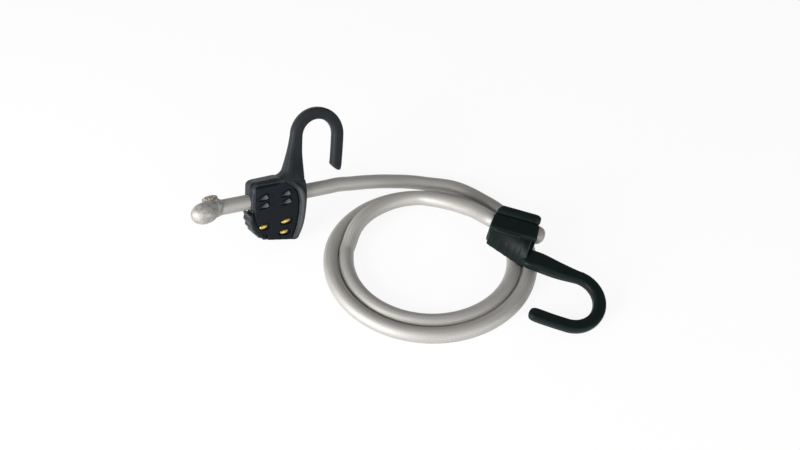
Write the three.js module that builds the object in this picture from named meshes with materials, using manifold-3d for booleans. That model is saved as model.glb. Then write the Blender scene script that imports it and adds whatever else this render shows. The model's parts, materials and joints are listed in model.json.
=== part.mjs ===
// Adjustable bungee cord. A braided cord lies in two turns on the floor. One hook slides along it and
// grips it with a sprung, toothed rocker lever. The other hook holds the knotted far end in a sleeve.
// Millimetres, +Z up, origin under the middle of the two hooks.
import * as THREE from 'three';
import { mergeVertices } from 'three/addons/utils/BufferGeometryUtils.js';
import Module from 'manifold-3d';

const wasm = await Module();
wasm.setup();

const DEG = Math.PI / 180;
const BEYOND = 200; // reach of a cutter that runs right through

// Cord
const CORD_D = 10;
const CORD_R = CORD_D / 2;
const CORD_SIDES = 12;
const CORD_FLAT = 1; // depth of the flat on which the coil lies
const STRAND_GAP = 0.5;
const CUT_GAP = 0.3; // between two stretches of the cord
const CORD_REST = CORD_R - CORD_FLAT;

// Fits
const GAP = 0.3;
const CORD_FIT = 0.4;
const BORE_R = CORD_R + CORD_FIT;

// Coil
const COIL_X = 20.8;
const COIL_Y = -34;
const COIL_R = 68.6;
const COIL_START = 79; // degrees, run clockwise
const COIL_TURNED = 619;
const COIL_STEPS = 64;
const LEAD_IN = 29;
const LEAD_IN_RISE = 4.3;
const STEP_START = 259;
const STEP_LENGTH = 105;
const NEAR_PRESS = 1.9; // the near side lies closer in

// J-shaped arm of both hooks
const ARM_W = 8.2;
const ARM_T = 6.8;
const ADJUSTER_CURL_R = 15.8;
const ADJUSTER_CURL = [29.7, 42.2]; // middle of the curl, in x and z of its hook
const END_CURL_R = 17.7;
const END_CURL = [39.9, 64];
const CURL_STEPS = 17;
const ARM_ROUND = 0.62;
const CORNER_STEPS = 4;

// Adjuster housing
const WALL = 2.1;
const BODY_HALF = BORE_R + WALL;
const BODY_EDGE = 1.4;
const CHANNEL_TILT = 6.4 * DEG;
const COVER_T = 2.4;
const COVER_EDGE = 0.6;
const COVER_BACK = COVER_T - BODY_HALF;
const RECESS_FLOOR = COVER_BACK + GAP;
const RIM_R = 2.8;
const RIB_LENGTH = 8.6;
const RIB_W = 3.4;
const RIB_H = 2.4;
const RIB_ALONG = [-12, 5.6];
const RIB_ASIDE = 2.9;

// Rocker lever
const PIVOT_X = -11.3;
const PIVOT_Z = -18.65;
const POCKET_R = 11.5;
const POCKET_HALF = -RECESS_FLOOR;
const LEVER_HALF = POCKET_HALF - GAP;
const TOOTH_COUNT = 4;
const TOOTH_PITCH = 1.7;
const TOOTH_DEPTH = 1.1;
const TOOTH_FROM = -11.8; // along the channel, running to the tail
const GRIP_EDGE = 0.5;
const GRIP_LINE = [[-20.9, -9.8], [-21, -24], [-10.3, -28.3]];
const WEB_FOOT = [[-9.4, -27.6], [-6.6, -27.6], [-5, -24.5]]; // closes the slot behind the cover
const GRIP_HALF = BODY_HALF - 0.8;
const GRIP_T = 2.2;
const GRIP_WAVES = 5;
const GRIP_WAVE_H = 0.45;

// Brass pin and studs
const SHANK_R = 1.6;
const HEAD_R = 1.7;
const HEAD_STRETCH = 1.45;
const HEAD_ASIDE = 0.6;
const HEAD_TILT = 14 * DEG;
const HEAD_H = 1.3;
const HEAD_SUNK = 1.4; // depth of the oval seats in the cover
const SEAT_R = 2.3;
const SEAT_STRETCH = 1.65;
const SEAT_ASIDE = 1.6;
const STUDS = { cover_stud_upper: [5, -15.85], cover_stud_lower: [4, -23.55] };

// Torsion spring
const WIRE_R = 0.4;
const SPRING_R = 2.9;
const SPRING_PITCH = 1.3;
const SPRING_TURNS = 2.25;
const SPRING_POCKET_R = SPRING_R + WIRE_R + 0.6;
const SPRING_POCKET_DEPTH = SPRING_PITCH * SPRING_TURNS + 2 * WIRE_R + 2 * GAP;
const SPRING_LEG = 4.4;

// End hook
const SLEEVE_L = 32.2;
const SLEEVE_HALF = 9.5;
const ENTRY_WALL = 7.5;
const BELL_R = BORE_R + 2.4;
const POCKET_WALL = 2.3;
const KNOT_POCKET_R = SLEEVE_HALF - POCKET_WALL;
const SLEEVE_LOW = -11.2;
const SLEEVE_HIGH = 9.5;
const SLEEVE_EDGE = 1.1; // rounding of its mouth
const FLANK_TOP = 2.6 - SLEEVE_HALF;
const FLANK_REACH_LOW = 4;
const FLANK_REACH_HIGH = 14.8;
const FLANK_STEPS = 9;
const FACE_STEPS = 8;
const FLANK_RIBS = [[3.9, 1.8], [9.2, 2], [14.6, 2.4], [19.2, 2.4], [26.2, 5]];
const LEDGE_R = 0.8;
const LEDGE_LINE = [[9.2, -6.9, 4], [9.6, -6.7, 21.5]];
const RIB_PROUD = 0.9;
const ROLL_R = 4.2;
const ROLL_HOLE_R = 1.9;
const ROLL_HOLE_DEPTH = 6;
const FLARE_END = 29;
const ARM_BACK = 1.6; // the end hook's arm lies behind the sleeve's middle

// Knots
const END_KNOT_R = KNOT_POCKET_R - 0.7;
const END_KNOT_FROM = 15;
const END_KNOT_TO = 37.5;
const LOOP_AT = [-11.7, -1.6, -0.8];
const LOOP_HALF = [9.9, 7.3, 7.3];
const LOOP_LEAN = 6 * DEG;
const STUB_R = 5.2;
const CORE_R = 4;
const CORE_L = 3;

// Poses on the bench, before the origin is moved
const ADJUSTER_AT = new THREE.Vector3(-86.2, -4.97, 34);
const ADJUSTER_TURN = new THREE.Euler(-21.73 * DEG, 19.47 * DEG, 34.62 * DEG, 'ZXY');
const END_AT = new THREE.Vector3(61.8, -23.4, 27);
const END_TURN = new THREE.Euler(14 * DEG, 7 * DEG, -15.5 * DEG, 'ZYX');
const TAIL_FROM = -38; // along the channel from the middle of the housing
const TAIL_TO = 36;
const STUB_POINTS = [[-9.8, 1.5, -1], [-7.4, 3.9, 1.2], [-6.3, 4.7, 3.4], [-6.5, 4.8, 6]].map(
  ([x, y, z]) => [TAIL_FROM + x, y, z],
);

function solidOf(geometry) {
  const bare = geometry.clone();
  bare.deleteAttribute('normal');
  bare.deleteAttribute('uv');
  const merged = mergeVertices(bare, 1e-4);
  return new wasm.Manifold(new wasm.Mesh({
    numProp: 3,
    vertProperties: merged.attributes.position.array,
    triVerts: new Uint32Array(merged.index.array),
  }));
}

function geometryOf(solid) {
  const mesh = solid.getMesh();
  const geometry = new THREE.BufferGeometry();
  geometry.setAttribute('position', new THREE.BufferAttribute(new Float32Array(mesh.vertProperties), 3));
  geometry.setIndex(new THREE.BufferAttribute(new Uint32Array(mesh.triVerts), 1));
  const flat = geometry.toNonIndexed();
  flat.computeVertexNormals();
  return flat;
}

// A plate whose outline is drawn in x and z, between two depths in y, with rounded edges.
function plate(outline, yFront, yBack, edge) {
  const geometry = new THREE.ExtrudeGeometry(outline, {
    depth: yBack - yFront - 2 * edge,
    bevelEnabled: edge > 0,
    bevelThickness: edge,
    bevelSize: edge,
    bevelOffset: -edge,
    bevelSegments: 2,
    curveSegments: 6,
  });
  geometry.translate(0, 0, edge - yBack);
  geometry.rotateX(Math.PI / 2);
  return solidOf(geometry);
}

function polygon(points) {
  return new THREE.Shape(points.map(([x, z]) => new THREE.Vector2(x, z)));
}

// A round bar across the housing, along y.
function crossBar(x, z, radius, yFront, yBack, sides = 24) {
  const geometry = new THREE.CylinderGeometry(radius, radius, yBack - yFront, sides);
  geometry.translate(x, (yFront + yBack) / 2, z);
  return solidOf(geometry);
}

// A round bar along z with a radius at each end.
function upright(radiusLow, radiusHigh, zLow, zHigh, sides = 32) {
  const geometry = new THREE.CylinderGeometry(radiusHigh, radiusLow, zHigh - zLow, sides);
  geometry.rotateX(Math.PI / 2);
  geometry.translate(0, 0, (zLow + zHigh) / 2);
  return solidOf(geometry);
}

function block(xLow, xHigh, yLow, yHigh, zLow, zHigh) {
  const geometry = new THREE.BoxGeometry(xHigh - xLow, yHigh - yLow, zHigh - zLow);
  geometry.translate((xLow + xHigh) / 2, (yLow + yHigh) / 2, (zLow + zHigh) / 2);
  return solidOf(geometry);
}

// A round tube along a curve, with flat ends.
function tube(curve, radius, steps, sides) {
  const ring = [];
  for (let i = 0; i < sides; i += 1) {
    const angle = (2 * Math.PI * (i + 0.5)) / sides;
    ring.push([radius * Math.cos(angle), radius * Math.sin(angle)]);
  }
  return new THREE.ExtrudeGeometry(polygon(ring), { steps, bevelEnabled: false, extrudePath: curve });
}

// A closed skin over rings that hold the same number of points.
function loft(rings) {
  const count = rings[0].length;
  const position = [];
  const index = [];
  rings.forEach((ring) => ring.forEach((point) => position.push(point.x, point.y, point.z)));
  for (let row = 0; row + 1 < rings.length; row += 1) {
    for (let i = 0; i < count; i += 1) {
      const a = row * count + i;
      const b = row * count + ((i + 1) % count);
      index.push(a, b, b + count, a, b + count, a + count);
    }
  }
  const last = (rings.length - 1) * count;
  for (let i = 1; i + 1 < count; i += 1) {
    index.push(0, i + 1, i);
    index.push(last, last + i, last + i + 1);
  }
  const geometry = new THREE.BufferGeometry();
  geometry.setAttribute('position', new THREE.Float32BufferAttribute(position, 3));
  geometry.setIndex(index);
  return solidOf(geometry);
}

// One rounded oblong section of an arm. It stands square to the arm's run in the x-z plane.
function armRing(x, z, run, width, thick) {
  const radius = (ARM_ROUND * Math.min(width, thick)) / 2;
  const ring = [];
  for (let corner = 0; corner < 4; corner += 1) {
    const signU = corner === 0 || corner === 3 ? 1 : -1;
    const signY = corner < 2 ? 1 : -1;
    for (let i = 0; i < CORNER_STEPS; i += 1) {
      const angle = (corner + i / (CORNER_STEPS - 1)) * (Math.PI / 2);
      const across = signU * (width / 2 - radius) + radius * Math.cos(angle);
      const y = signY * (thick / 2 - radius) + radius * Math.sin(angle);
      ring.push(new THREE.Vector3(x + across * Math.sin(run), y, z - across * Math.cos(run)));
    }
  }
  return ring;
}

// The arms' tips, from the end of the curl: one is cut aslant, the other is rounded.
const ADJUSTER_TIP = [
  [0, -10, -90, ARM_W, ARM_T],
  [-0.2, -18, -91, ARM_W, ARM_T],
  [-0.5, -22, -112, ARM_W * 1.03, ARM_T],
  [-0.7, -23.3, -122, ARM_W * 0.97, ARM_T * 0.88],
  [-1.1, -23.9, -126, ARM_W * 0.66, ARM_T * 0.6],
];
const END_TIP = [
  [-0.2, -10, -92, ARM_W, ARM_T],
  [-0.8, -20, -94, ARM_W * 1.02, ARM_T],
  [-1, -22.6, -94, ARM_W * 0.96, ARM_T * 0.94],
  [-1.1, -24.3, -94, ARM_W * 0.76, ARM_T * 0.76],
  [-1.2, -25.2, -94, ARM_W * 0.46, ARM_T * 0.46],
];

// The arm: a tapering shank, a half circle and a tip.
// Each row holds x, z, run in degrees, width and thickness; the whole arm lies set back in y.
function hookArm(shank, [curlX, curlZ], curlR, tip, back) {
  const rings = shank.map(([x, z, run, width, thick]) => armRing(x, z, run * DEG, width, thick));
  for (let i = 0; i <= CURL_STEPS; i += 1) {
    const angle = Math.PI * (1 - i / CURL_STEPS);
    const x = curlX + curlR * Math.cos(angle);
    const z = curlZ + curlR * Math.sin(angle);
    rings.push(armRing(x, z, angle - Math.PI / 2, ARM_W, ARM_T));
  }
  tip.forEach(([x, z, run, width, thick]) => {
    rings.push(armRing(curlX + curlR + x, curlZ + z, run * DEG, width, thick));
  });
  rings.forEach((ring) => ring.forEach((point) => point.setY(point.y + back)));
  return loft(rings);
}

// The housing's outline, with the foot below and the shank's root above.
function bodyOutline() {
  const shape = new THREE.Shape();
  shape.moveTo(-8.4, -28.9);
  shape.lineTo(12.4, -30.5);
  shape.quadraticCurveTo(14.6, -30.6, 15.2, -29);
  shape.quadraticCurveTo(24.3, -7.2, 19.4, 12.4);
  shape.lineTo(0, 14.4);
  shape.lineTo(-15.6, 12.1);
  shape.quadraticCurveTo(-19.9, 11.4, -19.9, 8);
  shape.lineTo(-19.9, -6.4);
  shape.lineTo(-17.8, -8.6);
  shape.quadraticCurveTo(-18, -20, -7.8, -25.5);
  shape.lineTo(-8.4, -28.9);
  return shape;
}

// The line along which the rim stands round the cover's right side, top to foot.
// Each row holds x, z and how far it stands proud of the housing.
const RIM_LINE = [
  [7.5, 13.4, -0.4], [12.2, 9.2, 0.8], [15.9, 4.4, 1.6], [17.5, -3, 1.6],
  [17.4, -10.5, 1.6], [15.8, -20, 1.6], [12.6, -28.4, 1.2],
];

// The cover inside the rim. A positive inset makes it smaller all round.
function coverOutline(inset) {
  const shape = new THREE.Shape();
  const side = RIM_R + inset;
  shape.moveTo(-8 + inset, -28.5 + inset);
  shape.lineTo(RIM_LINE[6][0] - side, -29.9 + inset);
  RIM_LINE.slice(1, 6).reverse().forEach(([x, z]) => shape.lineTo(x - side, z));
  shape.lineTo(3.6 - inset, 12.8 - inset);
  shape.lineTo(-15.8 + inset, 10.4 - inset);
  shape.quadraticCurveTo(-17.6 + inset, 10.2 - inset, -17.6 + inset, 8 - inset);
  shape.lineTo(-17.6 + inset, -7.4);
  shape.quadraticCurveTo(-17.6 + inset, -19.6 + inset, -7.4 + inset, -25.2 + inset);
  shape.lineTo(-8 + inset, -28.5 + inset);
  return shape;
}

// Turns a solid drawn along x into the line of the channel.
function alongChannel(geometry) {
  geometry.rotateY(-CHANNEL_TILT);
  return geometry;
}

function channelBore() {
  const geometry = new THREE.CylinderGeometry(BORE_R, BORE_R, BEYOND, 32);
  geometry.rotateZ(Math.PI / 2);
  return solidOf(alongChannel(geometry));
}

// A point of the housing from its place along the channel and aside from it.
function channelPoint(along, aside) {
  const cos = Math.cos(CHANNEL_TILT);
  const sin = Math.sin(CHANNEL_TILT);
  return [along * cos - aside * sin, along * sin + aside * cos];
}

function springCurve() {
  const points = [];
  const turnSteps = 14;
  const front = LEVER_HALF - SPRING_POCKET_DEPTH + GAP + WIRE_R;
  points.push([SPRING_R, front, -SPRING_LEG]);
  points.push([SPRING_R, front, -SPRING_LEG / 2]);
  for (let i = 0; i <= SPRING_TURNS * turnSteps; i += 1) {
    const angle = (2 * Math.PI * i) / turnSteps;
    const y = front + (SPRING_PITCH * i) / turnSteps;
    points.push([SPRING_R * Math.cos(angle), y, SPRING_R * Math.sin(angle)]);
  }
  const end = points[points.length - 1];
  points.push([end[0] - 1, end[1] + 0.5, end[2]]);
  points.push([end[0] - 1.3, end[1] + 1.5, end[2]]);
  points.push([end[0] - 1.3, end[1] + 2.4, end[2]]);
  return points.map(([x, y, z]) => new THREE.Vector3(PIVOT_X + x, y, PIVOT_Z + z));
}
const SPRING_POINTS = springCurve();
const SPRING_FOOT = SPRING_POINTS[SPRING_POINTS.length - 1];

function adjusterHook() {
  const shank = [
    [5.8, 8, 90, 27, 14.6],
    [8.7, 13, 90, 22, 14.6],
    [11.1, 15.4, 90, 16.8, 14],
    [12, 17.6, 90, 14.6, 13.2],
    [12.3, 20.6, 89, 13.4, 11.8],
    [12.6, 25, 88, 12, 9.8],
    [13.1, 32, 87, 10, 7.4],
  ];
  const rimPath = new THREE.CatmullRomCurve3(
    RIM_LINE.map(([x, z, proud]) => new THREE.Vector3(x, RIM_R - proud - BODY_HALF, z)),
  );
  let solid = plate(bodyOutline(), -BODY_HALF, BODY_HALF, BODY_EDGE);
  solid = solid.add(hookArm(shank, ADJUSTER_CURL, ADJUSTER_CURL_R, ADJUSTER_TIP, 0));
  solid = solid.add(solidOf(tube(rimPath, RIM_R, 16, 12)));
  solid = solid.subtract(plate(coverOutline(-GAP), -BEYOND, RECESS_FLOOR, 0));
  solid = solid.subtract(channelBore());
  solid = solid.subtract(crossBar(PIVOT_X, PIVOT_Z, POCKET_R, -BEYOND, POCKET_HALF, 40));
  const [mouthX, mouthZ] = channelPoint(TOOTH_FROM, -BORE_R);
  solid = solid.subtract(block(-BEYOND, mouthX + 2, -BEYOND, POCKET_HALF, mouthZ - 3.6, mouthZ + 1));
  solid = solid.subtract(crossBar(PIVOT_X, PIVOT_Z, SHANK_R + GAP, -BEYOND, BEYOND));
  Object.values(STUDS).forEach(([x, z]) => {
    solid = solid.subtract(crossBar(x, z, SHANK_R + GAP, -BEYOND, BEYOND));
  });
  return solid.subtract(crossBar(SPRING_FOOT.x, SPRING_FOOT.z, WIRE_R + GAP, 0, BODY_HALF - 1, 12));
}

// A rib's run: place along it, width and height, as shares of its full size.
const RIB_SECTIONS = [
  [-0.5, 0.2, 0.06], [0, 0.6, 0.28], [0.22, 0.85, 0.62], [0.38, 1, 1], [0.5, 0.95, 0.95],
];

// A rib that runs from a low point to a tall, blunt end towards the coil.
function wedgeRib(along, aside) {
  return loft(RIB_SECTIONS.map(([part, wide, tall]) => {
    const foot = (RIB_W * wide) / 2;
    const front = -BODY_HALF - RIB_H * tall;
    const back = 0.5 - BODY_HALF;
    const corners = [[foot * 0.4, front], [-foot * 0.4, front], [-foot, back], [foot, back]];
    return corners.map(([side, y]) => {
      const [x, z] = channelPoint(along + part * RIB_LENGTH, aside + side);
      return new THREE.Vector3(x, y, z);
    });
  }));
}

// The oval seat in which a brass head lies, longer on the side away from the tail.
function headSeat(x, z) {
  const geometry = new THREE.CylinderGeometry(SEAT_R, SEAT_R, 2 * HEAD_SUNK, 28);
  geometry.scale(SEAT_STRETCH, 1, 1);
  geometry.rotateY(-HEAD_TILT);
  geometry.translate(x + SEAT_ASIDE, -BODY_HALF, z);
  return solidOf(geometry);
}

function adjusterCover() {
  let solid = plate(coverOutline(0), -BODY_HALF, COVER_BACK, COVER_EDGE);
  RIB_ALONG.forEach((along) => {
    solid = solid.add(wedgeRib(along, RIB_ASIDE)).add(wedgeRib(along, -RIB_ASIDE));
  });
  solid = solid.subtract(channelBore());
  [[PIVOT_X, PIVOT_Z], ...Object.values(STUDS)].forEach(([x, z]) => {
    solid = solid.subtract(crossBar(x, z, SHANK_R + GAP, -BEYOND, BEYOND)).subtract(headSeat(x, z));
  });
  return solid;
}

// The lever: a thumb grip with shallow waves, a boss on the pin and saw teeth under the cord.
function releaseLever() {
  const line = new THREE.QuadraticBezierCurve(...GRIP_LINE.map(([x, z]) => new THREE.Vector2(x, z)));
  const outer = [];
  const inner = [];
  const steps = 4 * GRIP_WAVES;
  for (let i = 0; i <= steps; i += 1) {
    const run = line.getTangent(i / steps);
    const at = line.getPoint(i / steps);
    const wave = GRIP_WAVE_H * Math.cos((Math.PI * i) / 2);
    outer.push([at.x + run.y * wave, at.y - run.x * wave]);
    if (i % 4 === 0) {
      inner.unshift([at.x - run.y * GRIP_T, at.y + run.x * GRIP_T]);
    }
  }
  const grip = [...outer, ...inner];
  const web = [...inner.slice().reverse().map(([x, z]) => [x - 0.6, z + 0.2]), ...WEB_FOOT, [-5.6, -20],
    [-7.6, -13.4], [-12, -9.6]];
  const root = channelPoint(TOOTH_FROM, -BORE_R - 4);
  const teeth = [root, channelPoint(TOOTH_FROM, -CORD_R - GAP - TOOTH_DEPTH)];
  for (let i = 0; i < TOOTH_COUNT; i += 1) {
    const start = TOOTH_FROM - i * TOOTH_PITCH;
    teeth.push(channelPoint(start - 0.2, -CORD_R - GAP));
    teeth.push(channelPoint(start - TOOTH_PITCH, -CORD_R - GAP - TOOTH_DEPTH));
  }
  teeth.push(channelPoint(TOOTH_FROM - TOOTH_COUNT * TOOTH_PITCH, -BORE_R - 2.6));
  let solid = plate(polygon(grip), -GRIP_HALF, GRIP_HALF, GRIP_EDGE);
  solid = solid.add(plate(polygon(web), -LEVER_HALF, LEVER_HALF, 0));
  solid = solid.add(plate(polygon(teeth), -LEVER_HALF + GRIP_EDGE, LEVER_HALF - GRIP_EDGE, 0));
  solid = solid.subtract(crossBar(PIVOT_X, PIVOT_Z, SHANK_R + GAP, -BEYOND, BEYOND));
  const floor = LEVER_HALF - SPRING_POCKET_DEPTH;
  solid = solid.subtract(crossBar(PIVOT_X, PIVOT_Z, SPRING_POCKET_R, floor, BEYOND));
  const legX = PIVOT_X + SPRING_R;
  const slot = WIRE_R + GAP;
  return solid.subtract(
    block(legX - slot, legX + slot, floor, BEYOND, PIVOT_Z - SPRING_LEG - GAP, PIVOT_Z),
  );
}

// A domed oval head in front, a shank, and a turned-over collar behind the housing.
function rivet(x, z) {
  const dome = [new THREE.Vector2(0, 0), new THREE.Vector2(HEAD_R, 0)];
  for (let i = 1; i < 5; i += 1) {
    const angle = (i * Math.PI) / 10;
    dome.push(new THREE.Vector2(HEAD_R * Math.cos(angle), HEAD_H * Math.sin(angle)));
  }
  dome.push(new THREE.Vector2(0, HEAD_H));
  const front = new THREE.LatheGeometry(dome, 20);
  front.rotateX(Math.PI);
  front.scale(HEAD_STRETCH, 1, 1);
  front.rotateY(-HEAD_TILT);
  front.translate(x + HEAD_ASIDE, HEAD_SUNK - BODY_HALF - GAP, z);
  const back = new THREE.LatheGeometry(dome, 16);
  back.scale(1, 0.6, 1);
  back.translate(x, BODY_HALF + GAP, z);
  const shank = crossBar(x, z, SHANK_R, HEAD_SUNK - BODY_HALF - 2 * GAP, BODY_HALF + 2 * GAP, 16);
  return shank.add(solidOf(front)).add(solidOf(back));
}

// The sleeve's section, with the rolled edge at the far front corner.
function sleeveSection() {
  const shape = new THREE.Shape();
  const low = SLEEVE_LOW;
  const high = SLEEVE_HIGH;
  shape.moveTo(low + 4, SLEEVE_HALF);
  shape.quadraticCurveTo(low, SLEEVE_HALF, low, SLEEVE_HALF - 4);
  shape.lineTo(low, ROLL_R - SLEEVE_HALF);
  shape.absarc(low + ROLL_R, ROLL_R - SLEEVE_HALF, ROLL_R, Math.PI, 1.86 * Math.PI, false);
  shape.lineTo(low + 2 * ROLL_R + 0.9, 1 - SLEEVE_HALF);
  shape.lineTo(high - 1.8, 0.6 - SLEEVE_HALF);
  shape.quadraticCurveTo(high, 0.6 - SLEEVE_HALF, high, 2.6 - SLEEVE_HALF);
  shape.lineTo(high + 1.2, SLEEVE_HALF - 2.4);
  shape.quadraticCurveTo(high + 1.2, SLEEVE_HALF, high - 1.4, SLEEVE_HALF);
  shape.lineTo(low + 4, SLEEVE_HALF);
  return shape;
}

// The line to which the sleeve's entry is cut, in x and z: the far side starts later than the near one.
const ENTRY_LINE = [[-BEYOND, 9], [-13.5, 8], [-10, 5], [-6, 2.4], [-1, 0.8], [4, 0.2], [12, -0.4]];

// One section of the flank that spreads from the sleeve's near side to the arm, lifted by a rib's height.
// Its face bends from the ledge down to the foot, and grows fuller towards the mouth.
function flankRing(z, proud) {
  const part = z / FLARE_END;
  const reach = FLANK_REACH_LOW + (FLANK_REACH_HIGH - FLANK_REACH_LOW) * part + proud;
  const top = new THREE.Vector2(SLEEVE_HIGH - 0.6, FLANK_TOP);
  const foot = new THREE.Vector2(top.x + reach, SLEEVE_HALF - 2 - proud);
  const fullest = new THREE.Vector2(foot.x, FLANK_TOP + 1.6);
  const bend = top.clone().add(foot).multiplyScalar(0.5).lerp(fullest, 0.15 + 0.7 * part ** 2);
  const face = new THREE.QuadraticBezierCurve(top, bend, foot).getPoints(FACE_STEPS);
  const behind = [[foot.x - 1.4 - proud, SLEEVE_HALF - proud], [2, SLEEVE_HALF - proud], [2, FLANK_TOP]];
  return [...face.map(({ x, y }) => [x, y]), ...behind].map(([x, y]) => new THREE.Vector3(x, y, z));
}

// A rounded rib that stands on the flank, from the ledge down to the flank's lower edge.
function flankRib(z, width) {
  const edges = [[-0.5, -0.4], [-0.34, 0.7], [-0.18, 1], [0.18, 1], [0.34, 0.7], [0.5, -0.4]];
  return loft(edges.map(([side, share]) => flankRing(z + side * width, share * RIB_PROUD)));
}

function endHook() {
  const sleeve = new THREE.ExtrudeGeometry(sleeveSection(), {
    depth: SLEEVE_L - 2 * SLEEVE_EDGE,
    bevelEnabled: true,
    bevelThickness: SLEEVE_EDGE,
    bevelSize: SLEEVE_EDGE,
    bevelOffset: -SLEEVE_EDGE,
    bevelSegments: 3,
    curveSegments: 8,
  });
  sleeve.translate(0, 0, SLEEVE_EDGE);
  const shank = [
    [16.6, 25, 77, 3, 3],
    [17.4, 28.4, 77, 5, 5],
    [18.2, 29.4, 77, 11.6, 8.6],
    [18.8, 31.5, 77, 12.8, 9.2],
    [19.4, 38, 78, 12.4, 9],
    [21.3, 51, 81, 10.8, 8],
  ];
  let solid = solidOf(sleeve);
  const flank = [];
  for (let i = 0; i <= FLANK_STEPS; i += 1) {
    flank.push(flankRing(SLEEVE_EDGE + ((FLARE_END - SLEEVE_EDGE) * i) / FLANK_STEPS, 0));
  }
  solid = solid.add(loft(flank));
  FLANK_RIBS.forEach(([z, width]) => {
    solid = solid.add(flankRib(z, width));
  });
  const ledge = new THREE.LineCurve3(...LEDGE_LINE.map(([x, y, z]) => new THREE.Vector3(x, y, z)));
  solid = solid.add(solidOf(tube(ledge, LEDGE_R, 1, 8)));
  const entry = [[12, -BEYOND], [-BEYOND, -BEYOND], ...ENTRY_LINE];
  solid = solid.subtract(plate(polygon(entry), -BEYOND, BEYOND, 0));
  solid = solid.add(hookArm(shank, END_CURL, END_CURL_R, END_TIP, ARM_BACK));
  solid = solid.subtract(upright(KNOT_POCKET_R, KNOT_POCKET_R, ENTRY_WALL, BEYOND));
  solid = solid.subtract(upright(BORE_R, BORE_R, -1, ENTRY_WALL + 1));
  solid = solid.subtract(upright(BELL_R, BORE_R, -0.01, ENTRY_WALL - 1));
  const rollHole = new THREE.CylinderGeometry(ROLL_HOLE_R, ROLL_HOLE_R, 2 * ROLL_HOLE_DEPTH, 16);
  rollHole.rotateX(Math.PI / 2);
  rollHole.translate(SLEEVE_LOW + ROLL_R, ROLL_R - SLEEVE_HALF, SLEEVE_L);
  return solid.subtract(solidOf(rollHole));
}

function strand(points, radius, steps) {
  const curve = new THREE.CatmullRomCurve3(points.map(([x, y, z]) => new THREE.Vector3(x, y, z)));
  return solidOf(tube(curve, radius, steps, CORD_SIDES));
}

// The tail's knot in the line of the channel: the cord as it comes in, the fat loop drawn round it
// and the stub that stands up behind.
function tailKnot() {
  const loop = new THREE.SphereGeometry(1, 24, 16);
  loop.rotateZ(Math.PI / 2);
  loop.scale(...LOOP_HALF);
  loop.rotateY(-LOOP_LEAN);
  loop.translate(TAIL_FROM + LOOP_AT[0], LOOP_AT[1], LOOP_AT[2]);
  const neck = strand([[TAIL_FROM - CUT_GAP, 0, 0], [TAIL_FROM - CORD_D, 0, 0]], CORD_R - 0.2, 3);
  return solidOf(loop).add(neck).add(strand(STUB_POINTS, STUB_R, 8)).subtract(coreEnd(GAP));
}

// The rubber core that shows at the cut end. A positive margin makes the hole it sits in.
function coreEnd(margin) {
  const [before, end] = STUB_POINTS.slice(-2).map(([x, y, z]) => new THREE.Vector3(x, y, z));
  const along = end.clone().sub(before).normalize();
  const geometry = new THREE.CylinderGeometry(CORE_R + margin, CORE_R + margin, CORE_L + 2 * margin, 20);
  geometry.applyQuaternion(new THREE.Quaternion().setFromUnitVectors(new THREE.Vector3(0, 1, 0), along));
  const seat = end.clone().addScaledVector(along, 0.6 - CORE_L / 2);
  geometry.translate(seat.x, seat.y, seat.z);
  return solidOf(geometry);
}

function endKnot() {
  const middle = (END_KNOT_FROM + END_KNOT_TO) / 2;
  const half = (END_KNOT_TO - END_KNOT_FROM) / 2;
  const profile = [new THREE.Vector2(0, END_KNOT_FROM), new THREE.Vector2(4.6, END_KNOT_FROM)];
  const steps = 14;
  for (let i = 1; i < steps; i += 1) {
    const t = -1 + (2 * i) / steps;
    const waist = 1 - 0.07 * Math.cos(3 * Math.PI * t) - 0.07;
    const radius = END_KNOT_R * waist * Math.pow(1 - Math.pow(Math.abs(t), 4), 0.5);
    profile.push(new THREE.Vector2(radius, middle + half * t));
  }
  profile.push(new THREE.Vector2(0, END_KNOT_TO));
  const geometry = new THREE.LatheGeometry(profile, 24);
  geometry.rotateX(Math.PI / 2);
  return solidOf(geometry);
}

function piece(name, source, color, roughness, metalness) {
  const geometry = source.isBufferGeometry ? source : geometryOf(source);
  const mesh = new THREE.Mesh(geometry, new THREE.MeshStandardMaterial({ color, roughness, metalness }));
  mesh.name = name;
  return mesh;
}

const CHARCOAL = 0x23282d;
const BLACK = 0x121c1e;
const BRASS = 0xc8a53c;
const STEEL = 0xb4b8bc;
const GREY = 0xa5a29b;
const BROWN = 0x96826a;

const adjuster = new THREE.Group();
adjuster.name = 'adjuster';
adjuster.add(
  piece('adjuster_hook', adjusterHook(), CHARCOAL, 0.5, 0),
  piece('adjuster_cover', adjusterCover(), CHARCOAL, 0.5, 0),
  piece('release_lever', releaseLever(), CHARCOAL, 0.5, 0),
  piece('lever_pin', rivet(PIVOT_X, PIVOT_Z), BRASS, 0.3, 1),
);
Object.entries(STUDS).forEach(([name, [x, z]]) => {
  adjuster.add(piece(name, rivet(x, z), BRASS, 0.3, 1));
});
const springPath = new THREE.CatmullRomCurve3(SPRING_POINTS);
adjuster.add(piece('lever_spring', solidOf(tube(springPath, WIRE_R, 72, 8)), STEEL, 0.3, 1));

const channel = new THREE.Group();
channel.name = 'channel';
channel.rotation.y = -CHANNEL_TILT;
adjuster.add(channel);
const tailLine = new THREE.LineCurve3(new THREE.Vector3(TAIL_FROM, 0, 0), new THREE.Vector3(TAIL_TO, 0, 0));
channel.add(
  piece('cord_tail', solidOf(tube(tailLine, CORD_R, 24, CORD_SIDES)), GREY, 0.7, 0),
  piece('tail_knot', tailKnot(), GREY, 0.7, 0),
  piece('core_end', coreEnd(0), BROWN, 0.9, 0),
);

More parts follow.
